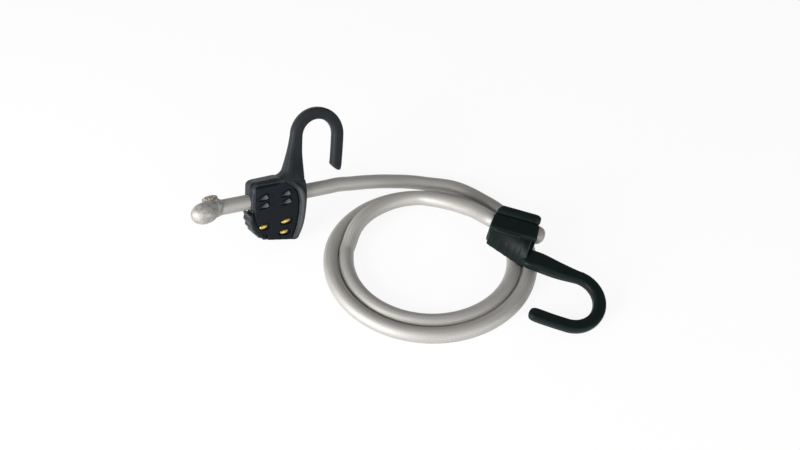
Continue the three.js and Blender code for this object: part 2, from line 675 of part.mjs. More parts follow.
// The end hook is drawn upright. The stand lays it on its back with the arm pointing to +X.
const end = new THREE.Group();
end.name = 'end';
const stand = new THREE.Group();
stand.name = 'stand';
stand.setRotationFromMatrix(new THREE.Matrix4().makeBasis(
  new THREE.Vector3(0, -1, 0),
  new THREE.Vector3(0, 0, -1),
  new THREE.Vector3(1, 0, 0),
));
stand.add(
  piece('end_hook', endHook(), BLACK, 0.45, 0),
  piece('end_knot', endKnot(), GREY, 0.7, 0),
);
end.add(stand);

const bench = new THREE.Group();
bench.name = 'bench';
adjuster.position.copy(ADJUSTER_AT);
adjuster.rotation.copy(ADJUSTER_TURN);
end.position.copy(END_AT);
end.rotation.copy(END_TURN);
bench.add(adjuster, end);
bench.updateMatrixWorld(true);

// Both hooks are let down until they touch the floor.
[[adjuster, 'adjuster_hook'], [end, 'end_hook']].forEach(([group, name]) => {
  const box = new THREE.Box3().setFromObject(bench.getObjectByName(name), true);
  group.position.z -= box.min.z;
});
bench.updateMatrixWorld(true);

class Coil extends THREE.Curve {
  getPoint(t) {
    const turned = t * COIL_TURNED;
    const angle = (COIL_START - turned) * DEG;
    const radius = coilRadius(turned);
    return new THREE.Vector3(
      COIL_X + radius * Math.cos(angle),
      COIL_Y + radius * Math.sin(angle),
      CORD_REST,
    );
  }
}

function ease(t) {
  const s = Math.min(Math.max(t, 0), 1);
  return s * s * (3 - 2 * s);
}

// The coil's radius after a turn in degrees: it comes in from the lead, then steps inside its first turn.
function coilRadius(turned) {
  const leadIn = LEAD_IN_RISE * (1 - ease(turned / LEAD_IN));
  const step = (CORD_D + STRAND_GAP) * ease((turned - STEP_START) / STEP_LENGTH);
  const near = Math.max(0, -Math.sin((COIL_START - turned) * DEG));
  return COIL_R + leadIn - step - NEAR_PRESS * near * near;
}

const coilCurve = new Coil();
const channelAt = (along) => channel.localToWorld(new THREE.Vector3(along, 0, 0));
const sleeveAt = (aside, along) => stand.localToWorld(new THREE.Vector3(aside, 0, along));
const coilStart = coilCurve.getPoint(0);
const coilRun = coilCurve.getTangent(0);
const coilEnd = coilCurve.getPoint(1);
const coilLeave = coilCurve.getTangent(1);

// The lead falls from the adjuster to the coil on the floor.
const LEAD_POINTS = [
  [-45.8, 18, 23.4], [-35.8, 22.6, 20.4], [-30.8, 25, 18.9], [-25.7, 27.4, 17.3],
  [-15.7, 31.8, 14], [-10.9, 33.8, 12.3], [-6, 35.6, 10.6], [4, 38.6, 7.6],
  [9.1, 39.4, 6.4], [14, 39.8, 5.4], [22.5, 39.4, 4.3],
];
const leadCurve = new THREE.CatmullRomCurve3([
  channelAt(TAIL_TO + CUT_GAP),
  channelAt(TAIL_TO + CORD_R),
  ...LEAD_POINTS.map(([x, y, z]) => new THREE.Vector3(x, y, z)),
  coilStart.clone().addScaledVector(coilRun, -CORD_R),
  coilStart.clone().addScaledVector(coilRun, -CUT_GAP),
]);

// The end stretch climbs over the first turn and bends into the sleeve.
const END_POINTS = [
  [-35.8, -23.7, 5.2], [-34.4, -18.7, 6.7], [-32.5, -13.6, 8.5], [-29.6, -8.5, 10.1],
  [-25.4, -3, 11.2], [-19.1, 3, 11.8], [-10.3, 9, 12], [-1.4, 13.1, 12.1],
  [7.3, 15.1, 12.2], [15.6, 15.1, 12.7], [24, 12.6, 13.7], [32.5, 8, 15.8],
  [40.1, 2.6, 18.2], [46, -2.6, 20.5], [51.3, -7.8, 22.8], [55.6, -13.3, 24.8],
];
const endCurve = new THREE.CatmullRomCurve3([
  coilEnd.clone().addScaledVector(coilLeave, CUT_GAP),
  coilEnd.clone().addScaledVector(coilLeave, CORD_R),
  ...END_POINTS.map(([x, y, z]) => new THREE.Vector3(x, y, z)),
  sleeveAt(-1.5, 0),
  sleeveAt(-0.25, ENTRY_WALL - 0.5),
  sleeveAt(0, (ENTRY_WALL + END_KNOT_FROM) / 2),
  sleeveAt(0, END_KNOT_FROM - CUT_GAP),
]);

// Cord that lies on the floor is pressed flat there.
function layCord(curve, steps) {
  const floor = block(-BEYOND, BEYOND, -BEYOND, BEYOND, -BEYOND, 0);
  return solidOf(tube(curve, CORD_R, steps, CORD_SIDES)).subtract(floor);
}

bench.add(
  piece('cord_lead', layCord(leadCurve, 40), GREY, 0.7, 0),
  piece('cord_coil', layCord(coilCurve, COIL_STEPS), GREY, 0.7, 0),
  piece('cord_end', layCord(endCurve, 64), GREY, 0.7, 0),
);

// The least gap between the cord's strands, on points of the centre lines.
function leastGap(pointsA, pointsB, apart) {
  let least = Infinity;
  pointsA.forEach((a, i) => pointsB.forEach((b, j) => {
    if (pointsA !== pointsB || j - i > apart) {
      least = Math.min(least, a.distanceTo(b) - CORD_D);
    }
  }));
  return least.toFixed(2);
}
const coilPoints = coilCurve.getSpacedPoints(600);
const leadPoints = leadCurve.getSpacedPoints(150);
const endPoints = endCurve.getSpacedPoints(200);
console.log('gap of the coil to itself', leastGap(coilPoints, coilPoints, 100));
console.log('gap of the lead to the coil', leastGap(leadPoints.slice(0, 120), coilPoints, 0));
console.log('gap of the end to the coil', leastGap(endPoints.slice(20), coilPoints, 0));
console.log('gap of the end to the lead', leastGap(endPoints, leadPoints, 0));

// The origin goes under the middle of the two hooks.
const hooks = new THREE.Box3();
['adjuster', 'end'].forEach((name) => {
  bench.getObjectByName(name).traverse((node) => {
    const isCord = /cord|knot|core/.test(node.name);
    if (node.isMesh && !isCord) {
      hooks.union(new THREE.Box3().setFromObject(node, true));
    }
  });
});
const middle = hooks.getCenter(new THREE.Vector3());
bench.position.set(-middle.x, -middle.y, 0);

const root = new THREE.Group();
root.name = 'bungee_cord';
root.add(bench);

export default root;
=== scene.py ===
import json
import math

import bmesh
import bpy
import numpy as np
from bpy.props import FloatProperty, FloatVectorProperty, IntProperty, PointerProperty
from mathutils import Matrix, Vector


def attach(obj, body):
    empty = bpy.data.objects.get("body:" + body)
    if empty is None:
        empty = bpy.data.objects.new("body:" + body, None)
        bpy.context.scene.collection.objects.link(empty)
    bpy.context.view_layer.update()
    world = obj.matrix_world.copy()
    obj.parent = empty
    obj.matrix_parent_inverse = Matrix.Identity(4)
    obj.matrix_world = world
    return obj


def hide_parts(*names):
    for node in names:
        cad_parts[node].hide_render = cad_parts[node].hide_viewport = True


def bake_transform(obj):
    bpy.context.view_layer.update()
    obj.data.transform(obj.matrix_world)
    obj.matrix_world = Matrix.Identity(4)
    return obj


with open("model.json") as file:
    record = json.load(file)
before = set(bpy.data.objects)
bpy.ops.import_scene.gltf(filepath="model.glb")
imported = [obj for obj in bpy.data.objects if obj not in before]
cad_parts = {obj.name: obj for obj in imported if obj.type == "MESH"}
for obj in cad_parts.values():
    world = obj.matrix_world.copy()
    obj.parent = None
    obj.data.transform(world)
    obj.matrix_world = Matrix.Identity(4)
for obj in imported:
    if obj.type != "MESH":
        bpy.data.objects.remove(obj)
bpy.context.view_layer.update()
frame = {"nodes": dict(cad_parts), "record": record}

bl_info = {
    "name": "Adjustable bungee cord",
    "version": (1, 0, 0),
    "blender": (4, 5, 0),
    "location": "3D View > Sidebar > Bungee",
    "description": "A coiled braided bungee cord with a sliding adjuster hook and an end hook",
    "category": "Object",
}

MM = 0.001
DEG = math.pi / 180.0

# Adjuster: its place on the drawing bench, its turns, the tilt of the cord's channel in it, its half
# thickness, the depth of the brass heads' seats and the gap between two pieces.
ADJUSTER_AT = np.array([-86.2, -4.97, 33.102])
ADJUSTER_TURN = (34.62, -21.73, 19.47)
CHANNEL_TILT = 6.4
BODY_HALF = 7.5
HEAD_SUNK = 1.4
GAP = 0.3

# End hook: its place in the frame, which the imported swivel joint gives, and on the bench, the bench's
# shift between the two, and its turns.
JOINTS = {joint["name"]: joint for joint in frame["record"]["behaviour"]["joints"]}
END_PLACE = np.array(JOINTS["end_swivel"]["pos_m"]) / MM
END_ON_BENCH = (61.8, -23.4)
BENCH = np.array([END_PLACE[0] - END_ON_BENCH[0], END_PLACE[1] - END_ON_BENCH[1], 0.0])
END_TURN = (-15.5, 7.0, 14.0)

# Cord's route on the bench, in millimetres.
TAIL_FROM = -46.0
TAIL_TO = 36.0
COIL_AT = np.array([20.8, -34.0])
COIL_R = 68.6
COIL_START = 79.0
COIL_TURNED = 619.0
COIL_POINTS = 720
COIL_IN = (4.3, 29.0)  # how far outside the lead joins it, and the degrees in which it comes in
COIL_STEP = 10.5  # one cord inwards,
COIL_STEP_AT = (259.0, 105.0)  # from here, in so many degrees
COIL_PRESSED = 1.9
CORD_REST = 4.0
CUT_GAP = 0.3
STRAIGHT = 5.0  # run beside the joint of two stretches
SWELL = 0.24  # the soft sleeve fills the gap between two turns
LEAD_POINTS = np.array([
    [-45.8, 18, 23.4], [-35.8, 22.6, 20.4], [-30.8, 25, 18.9], [-25.7, 27.4, 17.3],
    [-15.7, 31.8, 14], [-10.9, 33.8, 12.3], [-6, 35.6, 10.6], [4, 38.6, 7.6],
    [9.1, 39.4, 6.4], [14, 39.8, 5.4], [22.5, 39.4, 4.3],
])
END_POINTS = np.array([
    [-35.8, -23.7, 5.2], [-34.4, -18.7, 6.7], [-32.5, -13.6, 8.5], [-29.6, -8.5, 10.1],
    [-25.4, -3, 11.2], [-19.1, 3, 11.8], [-10.3, 9, 12], [-1.4, 13.1, 12.1],
    [7.3, 15.1, 12.2], [15.6, 15.1, 12.7], [24, 12.6, 13.7], [32.5, 8, 15.8],
    [40.1, 2.6, 18.2], [46, -2.6, 20.5], [51.3, -7.8, 22.8], [55.6, -13.3, 24.8],
])
SLEEVE_POINTS = np.array([[-1.5, 0, 0], [-0.25, 0, 7], [0, 0, 11.25], [0, 0, 14.7]])

# Tail knot, along the channel from here: stations of its strands, each with its radius, the turn
# round its neck, and the cut core's strands.
KNOT_FROM = -38.0
KNOT_STEP = 0.5
TAIL_LOOP = np.array([
    [-3.8, -0.6, 1.5, 3.2], [-5.6, -1.2, 1.1, 5.2], [-8.6, -1.5, 0.1, 6.6], [-12.2, -1.7, -1, 7.2],
    [-16.2, -1.6, -1.6, 6.7], [-19.4, -1.4, -1.9, 4.9], [-21.2, -1.3, -2, 2.6],
])
STUB = np.array([
    [-9.8, 1.5, -1, 4.8], [-7.4, 3.9, 1.2, 5.2], [-6.3, 4.7, 3.4, 5.4], [-6.3, 4.8, 4.8, 5.4],
    [-6.5, 4.8, 6.2, 5.2],
])
NECK_AT = (-3.9, -0.3, 0.3)
NECK_R = 2.5
NECK_SWAY = 0.9
NECK_STRAND = 3.7
NECK_TURN = (-0.5, 1.46)  # in half turns
CORE_RING = 1.6
CORE_PROFILE = np.array([[0.8, -2.2], [0.84, 0.3], [0.7, 0.62], [0.35, 0.78]])  # radius and height
CORE_UNEVEN = 0.18

# Knot in the end hook's pocket: stations of its body, and the strand drawn round it.
END_KNOT = np.array([
    [0, 0, 14.7, 4.6], [0, 0, 18, 6.0], [0, 0, 23, 6.4], [0, 0, 29, 6.2], [0, 0, 33, 5.9],
    [0, 0, 35.4, 5.0], [0, 0, 36.8, 3.5], [0, 0, 37.4, 1.8],
])
WRAP_AT = 31.2
WRAP_R = 2.6
WRAP_SLANT = (1.6, 0.6)
WRAP_STRAND = 3.8
WRAP_TURN = 1.95  # in half turns

# Arms of the hooks: x, z, run in degrees, width and thickness of each section.
ARM_W = 8.2
ARM_T = 6.8
ARM_ROUND = 0.62
CURL_STEPS = 26
ADJUSTER_SHANK = [
    [5.8, 8, 90, 27, 14.6], [8.7, 13, 90, 22, 14.6], [11.1, 15.4, 90, 16.8, 14],
    [12, 17.6, 90, 14.6, 13.2], [12.3, 20.6, 89, 13.4, 11.8], [12.6, 25, 88, 12, 9.8],
    [13.1, 32, 87, 10, 7.4],
]
ADJUSTER_CUT = 17.0
ADJUSTER_CURL = (29.7, 42.2, 15.8)
ADJUSTER_TIP = [
    [0, -10, -90, ARM_W, ARM_T],
    [-0.2, -18, -91, ARM_W, ARM_T],
    [-0.5, -22, -112, ARM_W * 1.03, ARM_T],
    [-0.7, -23.3, -122, ARM_W * 0.97, ARM_T * 0.88],
    [-1.0, -23.8, -125, ARM_W * 0.7, ARM_T * 0.64],
    [-1.1, -24, -126, ARM_W * 0.3, ARM_T * 0.28],
]
END_SHANK = [
    [17.2, 26, 77, 3, 2.4], [18.2, 29.4, 77, 11.4, 5.6], [18.8, 31.5, 77, 12.8, 6.8],
    [19.4, 38, 78, 12.4, 8.8], [21.3, 51, 81, 10.8, 8],
]
END_CURL = (39.9, 64.0, 17.7)
END_ARM_BACK = 1.6
END_TIP = [
    [-0.2, -10, -92, ARM_W, ARM_T],
    [-0.8, -20, -94, ARM_W * 1.02, ARM_T],
    [-1, -22.6, -94, ARM_W * 0.96, ARM_T * 0.94],
    [-1.1, -24.3, -94, ARM_W * 0.76, ARM_T * 0.76],
    [-1.2, -25.2, -94, ARM_W * 0.46, ARM_T * 0.46],
    [-1.2, -25.4, -94, ARM_W * 0.2, ARM_T * 0.2],
]

# The end hook's flank along the sleeve: its soft bars, each with its middle and width, the band
# beside the arm, and the ledge above them.
FLANK_FROM = 1.1
FLANK_TO = 29.0
FLANK_TOP = (8.9, -6.9)
FLANK_FOOT = 7.5
FLANK_REACH = (4.0, 14.8)
FLANK_BACK = 9.5
FLANK_CUT = 9.6
FLANK_FULL = (0.15, 0.7)  # how full its curve is at the far end, and what is added at the mouth
FLANK_BEND = 1.6
FLANK_INSET = (1.4, 0.7)
FLANK_BARS = ((3.9, 3.0), (9.2, 3.2), (14.6, 3.4), (19.2, 3.4))
FLANK_BAR_H = 0.34
FLANK_BAND = (23.4, 28.6)
FLANK_BAND_H = 0.5
LEDGE = np.array([[9.2, -7.2, 3.6], [9.7, -7.0, 21.6]])
LEDGE_R = 1.0

# The roll along the sleeve's edge: its middle and radius, the rounding of its end at the mouth, and
# where that fades, as a start and a length in x, y and z.
ROLL_AT = (-7.0, -5.3)
ROLL_R = 4.2
ROLL_END_R = 3.0
ROLL_FADE = ((-4.2, 2.6), (-3.0, 4.0), (20.0, 10.0))

# Front of the cover: how far its skin reaches back and forward of its face.
FRONT_SKIN = (1.2, 0.15)

# Wedge ribs on the cover: middles along and across the channel, lean, length, width and height, and
# the grooves beside them. What stands proud of the front between two depths, the ribs and the rim's crest,
# gets a painted highlight: a pale colour.
RIBS = ((-13.1, 3.3), (-13.1, -2.4), (3.2, 3.3), (3.2, -2.4))
RIB_LEAN = 20.0
RIB_SIZE = (9.0, 3.6, 1.9)
GROOVE_DEPTH = 0.9
GROOVE_AT = 0.4
GROOVE_WIDE = 0.45
PROUD_HIGHLIGHT = (-8.2, -9.1, (0.11, 0.116, 0.121))

# The joint round the cover's left side and top, in x and z.
SEAM = (
    (-17.75, -6.5), (-17.75, 0.0), (-17.75, 8.0), (-17.2, 9.8), (-15.8, 10.55), (-6.0, 11.75),
    (3.4, 12.95),
)
SEAM_WIDE = 1.1
SEAM_DEEP = 0.9
SEAM_PROUD = 0.1

# The housing's shoulder: left side, top at the middle and its slope, the rounding there, and where it
# fades: away from the bore, in x and in z, each as a start and a length. The shank starts at the last.
SHOULDER_LEFT = -19.9
SHOULDER_TOP = (14.4, 0.147)
SHOULDER_R = 5.0
SHOULDER_R_AT_BORE = 1.7
SHOULDER_BORE = (4.5, 4.0)
SHOULDER_FADE = ((-3.0, 7.0), (-8.5, 4.0))
SHOULDER_END = 16.0

# Lever, brass and spring, in the adjuster's own axes.
LEVER_HEEL = ((-10.3, -28.4), (-8.7, -29.3), (-7.3, -29.0), (-6.4, -27.0), (-9.0, -25.5))
LEVER_HEEL_HALF = 4.4
LEVER_LIP = np.array([  # angle about the pivot, inner and outer radius
    [156, 6.9, 8.0], [162, 6.0, 7.5], [168, 5.3, 7.2], [174, 4.8, 6.9], [180, 4.4, 6.7], [192, 3.8, 6.2],
    [204, 3.4, 6.1], [216, 3.25, 6.05], [228, 3.3, 6.1], [240, 3.55, 6.2], [252, 4.0, 6.6], [264, 4.75, 7.1],
    [270, 5.3, 7.3],
])
LEVER_LIP_FRONT = (-6.2, -6.7)
LEVER_LIP_BACK = -5.2
PIVOT = (-11.3, -18.65)
STUD_UPPER = (5.0, -15.85)
STUD_LOWER = (4.0, -23.55)
RIVET_R = 1.6
HEAD_R = 1.62
HEAD_H = 1.3
COLLAR_R = 1.7
COLLAR_H = 0.78
HEAD_LONG = {"lever_pin": 1.8, "cover_stud_upper": 2.3, "cover_stud_lower": 1.85}
HEAD_ASIDE = 0.25
HEAD_LEAN = 18.0
DIP_SIZE = (4.5, 2.1)
DIP_DEPTH = 1.1
DIP_RIM = (0.7, 0.4)
SPRING_R = 2.9
SPRING_WIRE = 0.4
SPRING_PITCH = 1.3
SPRING_FRONT = 0.875
SPRING_POINTS = 14  # in one turn
SPRING_LEG = (4.4, 2.2)
SPRING_FOOT = np.array([[-1, 0.5, 0], [-1.3, 1.5, 0], [-1.3, 2.4, 0]])

# Stage: lamps with their place, size in metres and power in watts, the floor's half width, depth
# under the object and tone, its share and strength of glow, and the backdrop's rise and strength.
LAMPS = (("key", (-0.85, -0.72, 0.36), 0.7, 18.5), ("fill", (0.6, -0.9, 0.35), 0.7, 4.0))
FLOOR_HALF = 3.0
FLOOR_DROP = 0.0003
FLOOR_SEEN = (0.8, 0.8, 0.8, 1.0)
FLOOR_GLOW = (0.85, 1.05)
BACKDROP_RISE = (0.13, 0.2)
BACKDROP = 0.945
WHITE = (1.0, 1.0, 1.0, 1.0)


def turn(axis, degrees):
    """Rotation matrix about one of the axes X, Y or Z."""
    return np.array(Matrix.Rotation(degrees * DEG, 3, axis))


def adjuster_frame():
    """Rotation and place of the adjuster in millimetres: turned about Z, then X, then Y."""
    z, x, y = ADJUSTER_TURN
    return turn("Z", z) @ turn("X", x) @ turn("Y", y), ADJUSTER_AT + BENCH


def channel_frame():
    """Rotation and place of the cord's channel: the adjuster's, tilted about its own Y."""
    rotation, place = adjuster_frame()
    return rotation @ turn("Y", -CHANNEL_TILT), place


def end_frame():
    """Rotation and place of the end hook: laid on its back, then turned about Z, Y and X."""
    z, y, x = END_TURN
    laid = np.array([[0.0, 0.0, 1.0], [-1.0, 0.0, 0.0], [0.0, -1.0, 0.0]])
    return turn("Z", z) @ turn("Y", y) @ turn("X", x) @ laid, END_PLACE


def to_world(points, placed):
    """Points in millimetres of a hook's own axes, as metres of the shared frame."""
    rotation, place = placed
    return (np.asarray(points) @ rotation.T + place) * MM


def to_hook(points, placed):
    """Metres of the shared frame, as millimetres of a hook's own axes."""
    rotation, place = placed
    return (np.asarray(points) / MM - place) @ rotation


def unit(vectors):
    """Vectors of an array, each made one long."""
    return vectors / np.linalg.norm(vectors, axis=-1, keepdims=True)


def smooth_route(points, per_span=24):
    """Centripetal Catmull-Rom curve: between two points a cubic whose slopes come from their
    neighbours, weighted by the square roots of the distances."""
    points = np.asarray(points, float)
    p = np.vstack([2 * points[0] - points[1], points, 2 * points[-1] - points[-2]])
    p0, p1, p2, p3 = p[:-3], p[1:-2], p[2:-1], p[3:]
    d0 = np.linalg.norm(p1 - p0, axis=1, keepdims=True) ** 0.5
    d1 = np.linalg.norm(p2 - p1, axis=1, keepdims=True) ** 0.5
    d2 = np.linalg.norm(p3 - p2, axis=1, keepdims=True) ** 0.5
    m1 = ((p1 - p0) / d0 - (p2 - p0) / (d0 + d1) + (p2 - p1) / d1) * d1
    m2 = ((p2 - p1) / d1 - (p3 - p1) / (d1 + d2) + (p3 - p2) / d2) * d1
    u = np.linspace(0, 1, per_span, endpoint=False)[None, :, None]
    p1, p2, m1, m2 = p1[:, None], p2[:, None], m1[:, None], m2[:, None]
    curve = (2 * u**3 - 3 * u**2 + 1) * p1 + (u**3 - 2 * u**2 + u) * m1
    curve = curve + (3 * u**2 - 2 * u**3) * p2 + (u**3 - u**2) * m2
    return np.vstack([curve.reshape(-1, points.shape[1]), points[-1:]])


def distances(path):
    """Distance of each point of a path from its start, along it."""
    return np.concatenate([[0], np.cumsum(np.linalg.norm(np.diff(path, axis=0), axis=1))])


def even_steps(curve, step):
    """The same curve with its points an even step apart along it, and its length."""
    along = distances(curve[:, :3])
    count = max(int(round(along[-1] / step)), 2) + 1
    at = np.linspace(0, along[-1], count)
    return np.stack([np.interp(at, along, column) for column in curve.T], axis=1), along[-1]


def ease(t):
    """Smooth step from 0 to 1: 3 t squared less 2 t cubed."""
    s = np.clip(t, 0, 1)
    return s * s * (3 - 2 * s)


def bell(distance, middle, width):
    """A bell curve: e to the power of minus the square of the distance from its middle in widths."""
    return np.exp(-(((distance - middle) / width) ** 2))


def leaned(a, b, degrees):
    """Two coordinates turned by an angle: a cos - b sin, and a sin + b cos."""
    cos, sin = math.cos(degrees * DEG), math.sin(degrees * DEG)
    return a * cos - b * sin, a * sin + b * cos


def ring_angles(count):
    """Angles of a ring's points, once round."""
    return np.linspace(0, 2 * math.pi, count, endpoint=False)


def coil_curve():
    """Two turns, clockwise. The radius comes in from the lead, steps one cord inwards during the
    second turn, and is pressed in a little on the near side."""
    turned = np.linspace(0, COIL_TURNED, COIL_POINTS)
    angle = (COIL_START - turned) * DEG
    radius = COIL_R + COIL_IN[0] * (1 - ease(turned / COIL_IN[1]))
    radius = radius - COIL_STEP * ease((turned - COIL_STEP_AT[0]) / COIL_STEP_AT[1])
    radius = radius - COIL_PRESSED * np.maximum(0, -np.sin(angle)) ** 2
    flat = COIL_AT + radius[:, None] * np.stack([np.cos(angle), np.sin(angle)], axis=1)
    return np.column_stack([flat, np.full(COIL_POINTS, CORD_REST)])


def cord_route():
    """The whole cord, from the end hook's pocket round the coil to the tail, in metres."""
    channel = channel_frame()
    coil = coil_curve()
    start, begin = coil[0], unit(coil[1] - coil[0])
    stop, leave = coil[-1], unit(coil[-1] - coil[-2])
    tail = to_world([[x, 0, 0] for x in (TAIL_FROM, TAIL_TO)], channel) / MM - BENCH
    out = to_world([[x, 0, 0] for x in (TAIL_TO + CUT_GAP, TAIL_TO + STRAIGHT)], channel) / MM - BENCH
    sleeve = to_world(SLEEVE_POINTS, end_frame()) / MM - BENCH
    lead = smooth_route(np.vstack([out, LEAD_POINTS, start - STRAIGHT * begin, start - CUT_GAP * begin]))
    end = smooth_route(np.vstack([stop + CUT_GAP * leave, stop + STRAIGHT * leave, END_POINTS, sleeve]))
    route = np.vstack([tail, lead, coil, end])[::-1]
    return (route + BENCH) * MM


def carried(line, reference, across, deep, sides):
    """An oval carried along a line: its half width times the cosine of the angle round it, and its half
    depth times the sine. The width is square to the line and to a fixed reference, and the depth is
    square to both."""
    tangent = unit(np.gradient(line, axis=0))
    side = unit(np.cross(tangent, np.broadcast_to(reference, tangent.shape)))
    up = np.cross(side, tangent)
    angle = ring_angles(sides)[None, :, None]
    return line[:, None] - across * np.cos(angle) * side[:, None] + deep * np.sin(angle) * up[:, None]


def braid_height(u, v):
    """Relief of a plain braid from 0 to 1. Two sets of yarns run slantwise, at u + v and v - u
    cells; in each diamond one lies on top, and its back is round across and dips at both ends."""
    a, b = v + u, v - u
    over = np.mod(np.floor(a) + np.floor(b), 2) < 0.5
    across = np.where(over, a - np.floor(a), b - np.floor(b)) * 2 - 1
    along = np.where(over, b - np.floor(b), a - np.floor(a)) * 2 - 1
    return np.sqrt(np.maximum(0, 1 - 0.85 * across**2)) * (1 - 0.55 * along**4)


def braided_tube(path, radius, settings, reference=(0, 0, 1), sides=72):
    """A round tube along a path, with the braid's relief added to its radius. Returns the rows of
    points and the braid's cells along them."""
    u = distances(path)[:, None] / settings.pick * np.ones((1, sides))
    v = ring_angles(sides)[None, :] / (2 * math.pi) * settings.yarns * np.ones((len(path), 1))
    reach = np.broadcast_to(np.asarray(radius, float), (len(path),))[:, None]
    reach = (reach - settings.relief * (1 - braid_height(u, v)))[..., None]
    return carried(path, reference, reach, reach, sides), u[:, 0]


def knot_strand(stations, placed, settings, reference):
    """A braided strand of a knot, through stations of place and radius in a hook's own axes."""
    line, _ = even_steps(smooth_route(stations), KNOT_STEP)
    return braided_tube(to_world(line[:, :3], placed), line[:, 3] * MM, settings, reference)


def mesh_object(name, vertices, faces):
    """A new object at the origin, with its place in its mesh."""
    mesh = bpy.data.meshes.new(name)
    mesh.from_pydata(vertices, [], faces)
    mesh.polygons.foreach_set("use_smooth", np.ones(len(mesh.polygons), bool))
    obj = bpy.data.objects.new(name, mesh)
    bpy.context.scene.collection.objects.link(obj)
    return obj


def ring_faces(rows, columns, first=0):
    """Quads between neighbouring rings, and a cap on the first and the last ring."""
    i = first + np.arange(rows - 1)[:, None] * columns
    j = np.arange(columns)[None, :]
    k = (j + 1) % columns
    quads = np.stack([i + j, i + k, i + columns + k, i + columns + j], axis=-1).reshape(-1, 4)
    low = first + np.arange(columns)[::-1]
    high = first + (rows - 1) * columns + np.arange(columns)
    return quads, low, high


def tubes_object(name, tubes, cells=None):
    """One object of several closed tubes. Each has rows of points, and a braid's cells along."""
    vertices, faces, coords = [], [], []
    first = 0
    for points, along in tubes:
        rows, columns = points.shape[:2]
        quads, low, high = ring_faces(rows, columns, first)
        vertices.append(points.reshape(-1, 3))
        faces += quads.tolist() + [low.tolist(), high.tolist()]
        if cells:
            u = np.repeat(along, columns).reshape(rows, columns)
            v = np.arange(columns + 1) * (cells / columns)
            corners = np.empty((rows - 1, columns, 4, 2))
            corners[..., 0, 0] = corners[..., 1, 0] = u[:-1]
            corners[..., 2, 0] = corners[..., 3, 0] = u[1:]
            corners[..., 0, 1] = corners[..., 3, 1] = v[:-1]
            corners[..., 1, 1] = corners[..., 2, 1] = v[1:]
            coords += [corners.reshape(-1, 2), np.zeros((2 * columns, 2))]
        first += rows * columns
    obj = mesh_object(name, np.vstack(vertices), faces)
    if cells:
        layer = obj.data.uv_layers.new(name="braid")
        layer.data.foreach_set("uv", np.vstack(coords).astype(np.float32).ravel())
    return obj


# Hooks and other moulded pieces


def arm_surface(shank, curl, arm_tip, back, count=260, corner=10):
    """An arm's skin: a rounded oblong carried along the shank, a half circle and the tip. Sections
    between the given ones follow a smooth curve through place, run, width and thickness."""
    x, z, radius = curl
    angle = np.linspace(math.pi, 0, CURL_STEPS)
    half_circle = np.column_stack([
        x + radius * np.cos(angle), z + radius * np.sin(angle), angle / DEG - 90,
        np.full(CURL_STEPS, ARM_W), np.full(CURL_STEPS, ARM_T),
    ])
    tip = np.array(arm_tip, float) + [x + radius, z, 0, 0, 0]
    stations = smooth_route(np.vstack([shank, half_circle, tip]), 10)
    along = distances(stations[:, :2])
    at = np.linspace(0, along[-1], count)
    px, pz, run, width, thick = [np.interp(at, along, column)[:, None] for column in stations.T]
    round_r = ARM_ROUND * np.minimum(width, thick) / 2
    step = np.linspace(0, 1, corner)
    quarter = np.concatenate([(c + step) * (math.pi / 2) for c in range(4)])
    sign_u = np.repeat([1, -1, -1, 1], corner)
    sign_y = np.repeat([1, 1, -1, -1], corner)
    across = sign_u * (width / 2 - round_r) + round_r * np.cos(quarter)
    y = sign_y * (thick / 2 - round_r) + round_r * np.sin(quarter) + back
    rad = run * DEG
    return np.stack([px + across * np.sin(rad), y, pz - across * np.cos(rad)], axis=-1)


def flank_surface(count=200, columns=48):
    """The end hook's flank: rings along the sleeve. Each has a face on a quadratic curve from the
    ledge to the foot, fuller towards the mouth, and is lifted along its normal by cosine bars that
    fade in below the ledge and by the flat band beside the arm."""
    z = np.linspace(FLANK_FROM, FLANK_TO, count)
    part = (z / FLANK_TO)[:, None]
    t = np.linspace(0, 1, columns)[None, :]
    foot_x = FLANK_TOP[0] + FLANK_REACH[0] + (FLANK_REACH[1] - FLANK_REACH[0]) * part
    fuller = FLANK_FULL[0] + FLANK_FULL[1] * part**2
    bend_x = (FLANK_TOP[0] + foot_x) / 2 * (1 - fuller) + foot_x * fuller
    bend_y = (FLANK_TOP[1] + FLANK_FOOT) / 2 * (1 - fuller) + (FLANK_TOP[1] + FLANK_BEND) * fuller
    x = (1 - t) ** 2 * FLANK_TOP[0] + 2 * t * (1 - t) * bend_x + t**2 * foot_x
    y = (1 - t) ** 2 * FLANK_TOP[1] + 2 * t * (1 - t) * bend_y + t**2 * FLANK_FOOT
    normal = unit(np.stack([np.gradient(y, axis=1), -np.gradient(x, axis=1)], axis=-1))
    lift = np.zeros_like(z)
    for middle, width in FLANK_BARS:
        lift += FLANK_BAR_H / 2 * (1 + np.cos(2 * math.pi * np.clip((z - middle) / width, -0.5, 0.5)))
    band = ease((z - FLANK_BAND[0]) / 0.8) * (1 - ease((z - FLANK_BAND[1]) / 0.5))
    lift = lift[:, None] * ease((t - 0.3) / 0.35) + FLANK_BAND_H * band[:, None] * ease(t / 0.2)
    face = np.stack([x, y, z[:, None] * np.ones_like(t)], axis=-1)
    face[..., :2] += normal * lift[..., None]
    behind = np.empty((count, 3, 3))
    behind[:, 0, :2] = np.column_stack([foot_x[:, 0] - FLANK_INSET[0], np.full(count, FLANK_BACK)])
    behind[:, 1, :2] = (FLANK_TOP[0] - FLANK_INSET[1], FLANK_BACK)
    behind[:, 2, :2] = (FLANK_TOP[0] - FLANK_INSET[1], FLANK_TOP[1])
    behind[..., 2] = z[:, None]
    return np.concatenate([face, behind], axis=1)


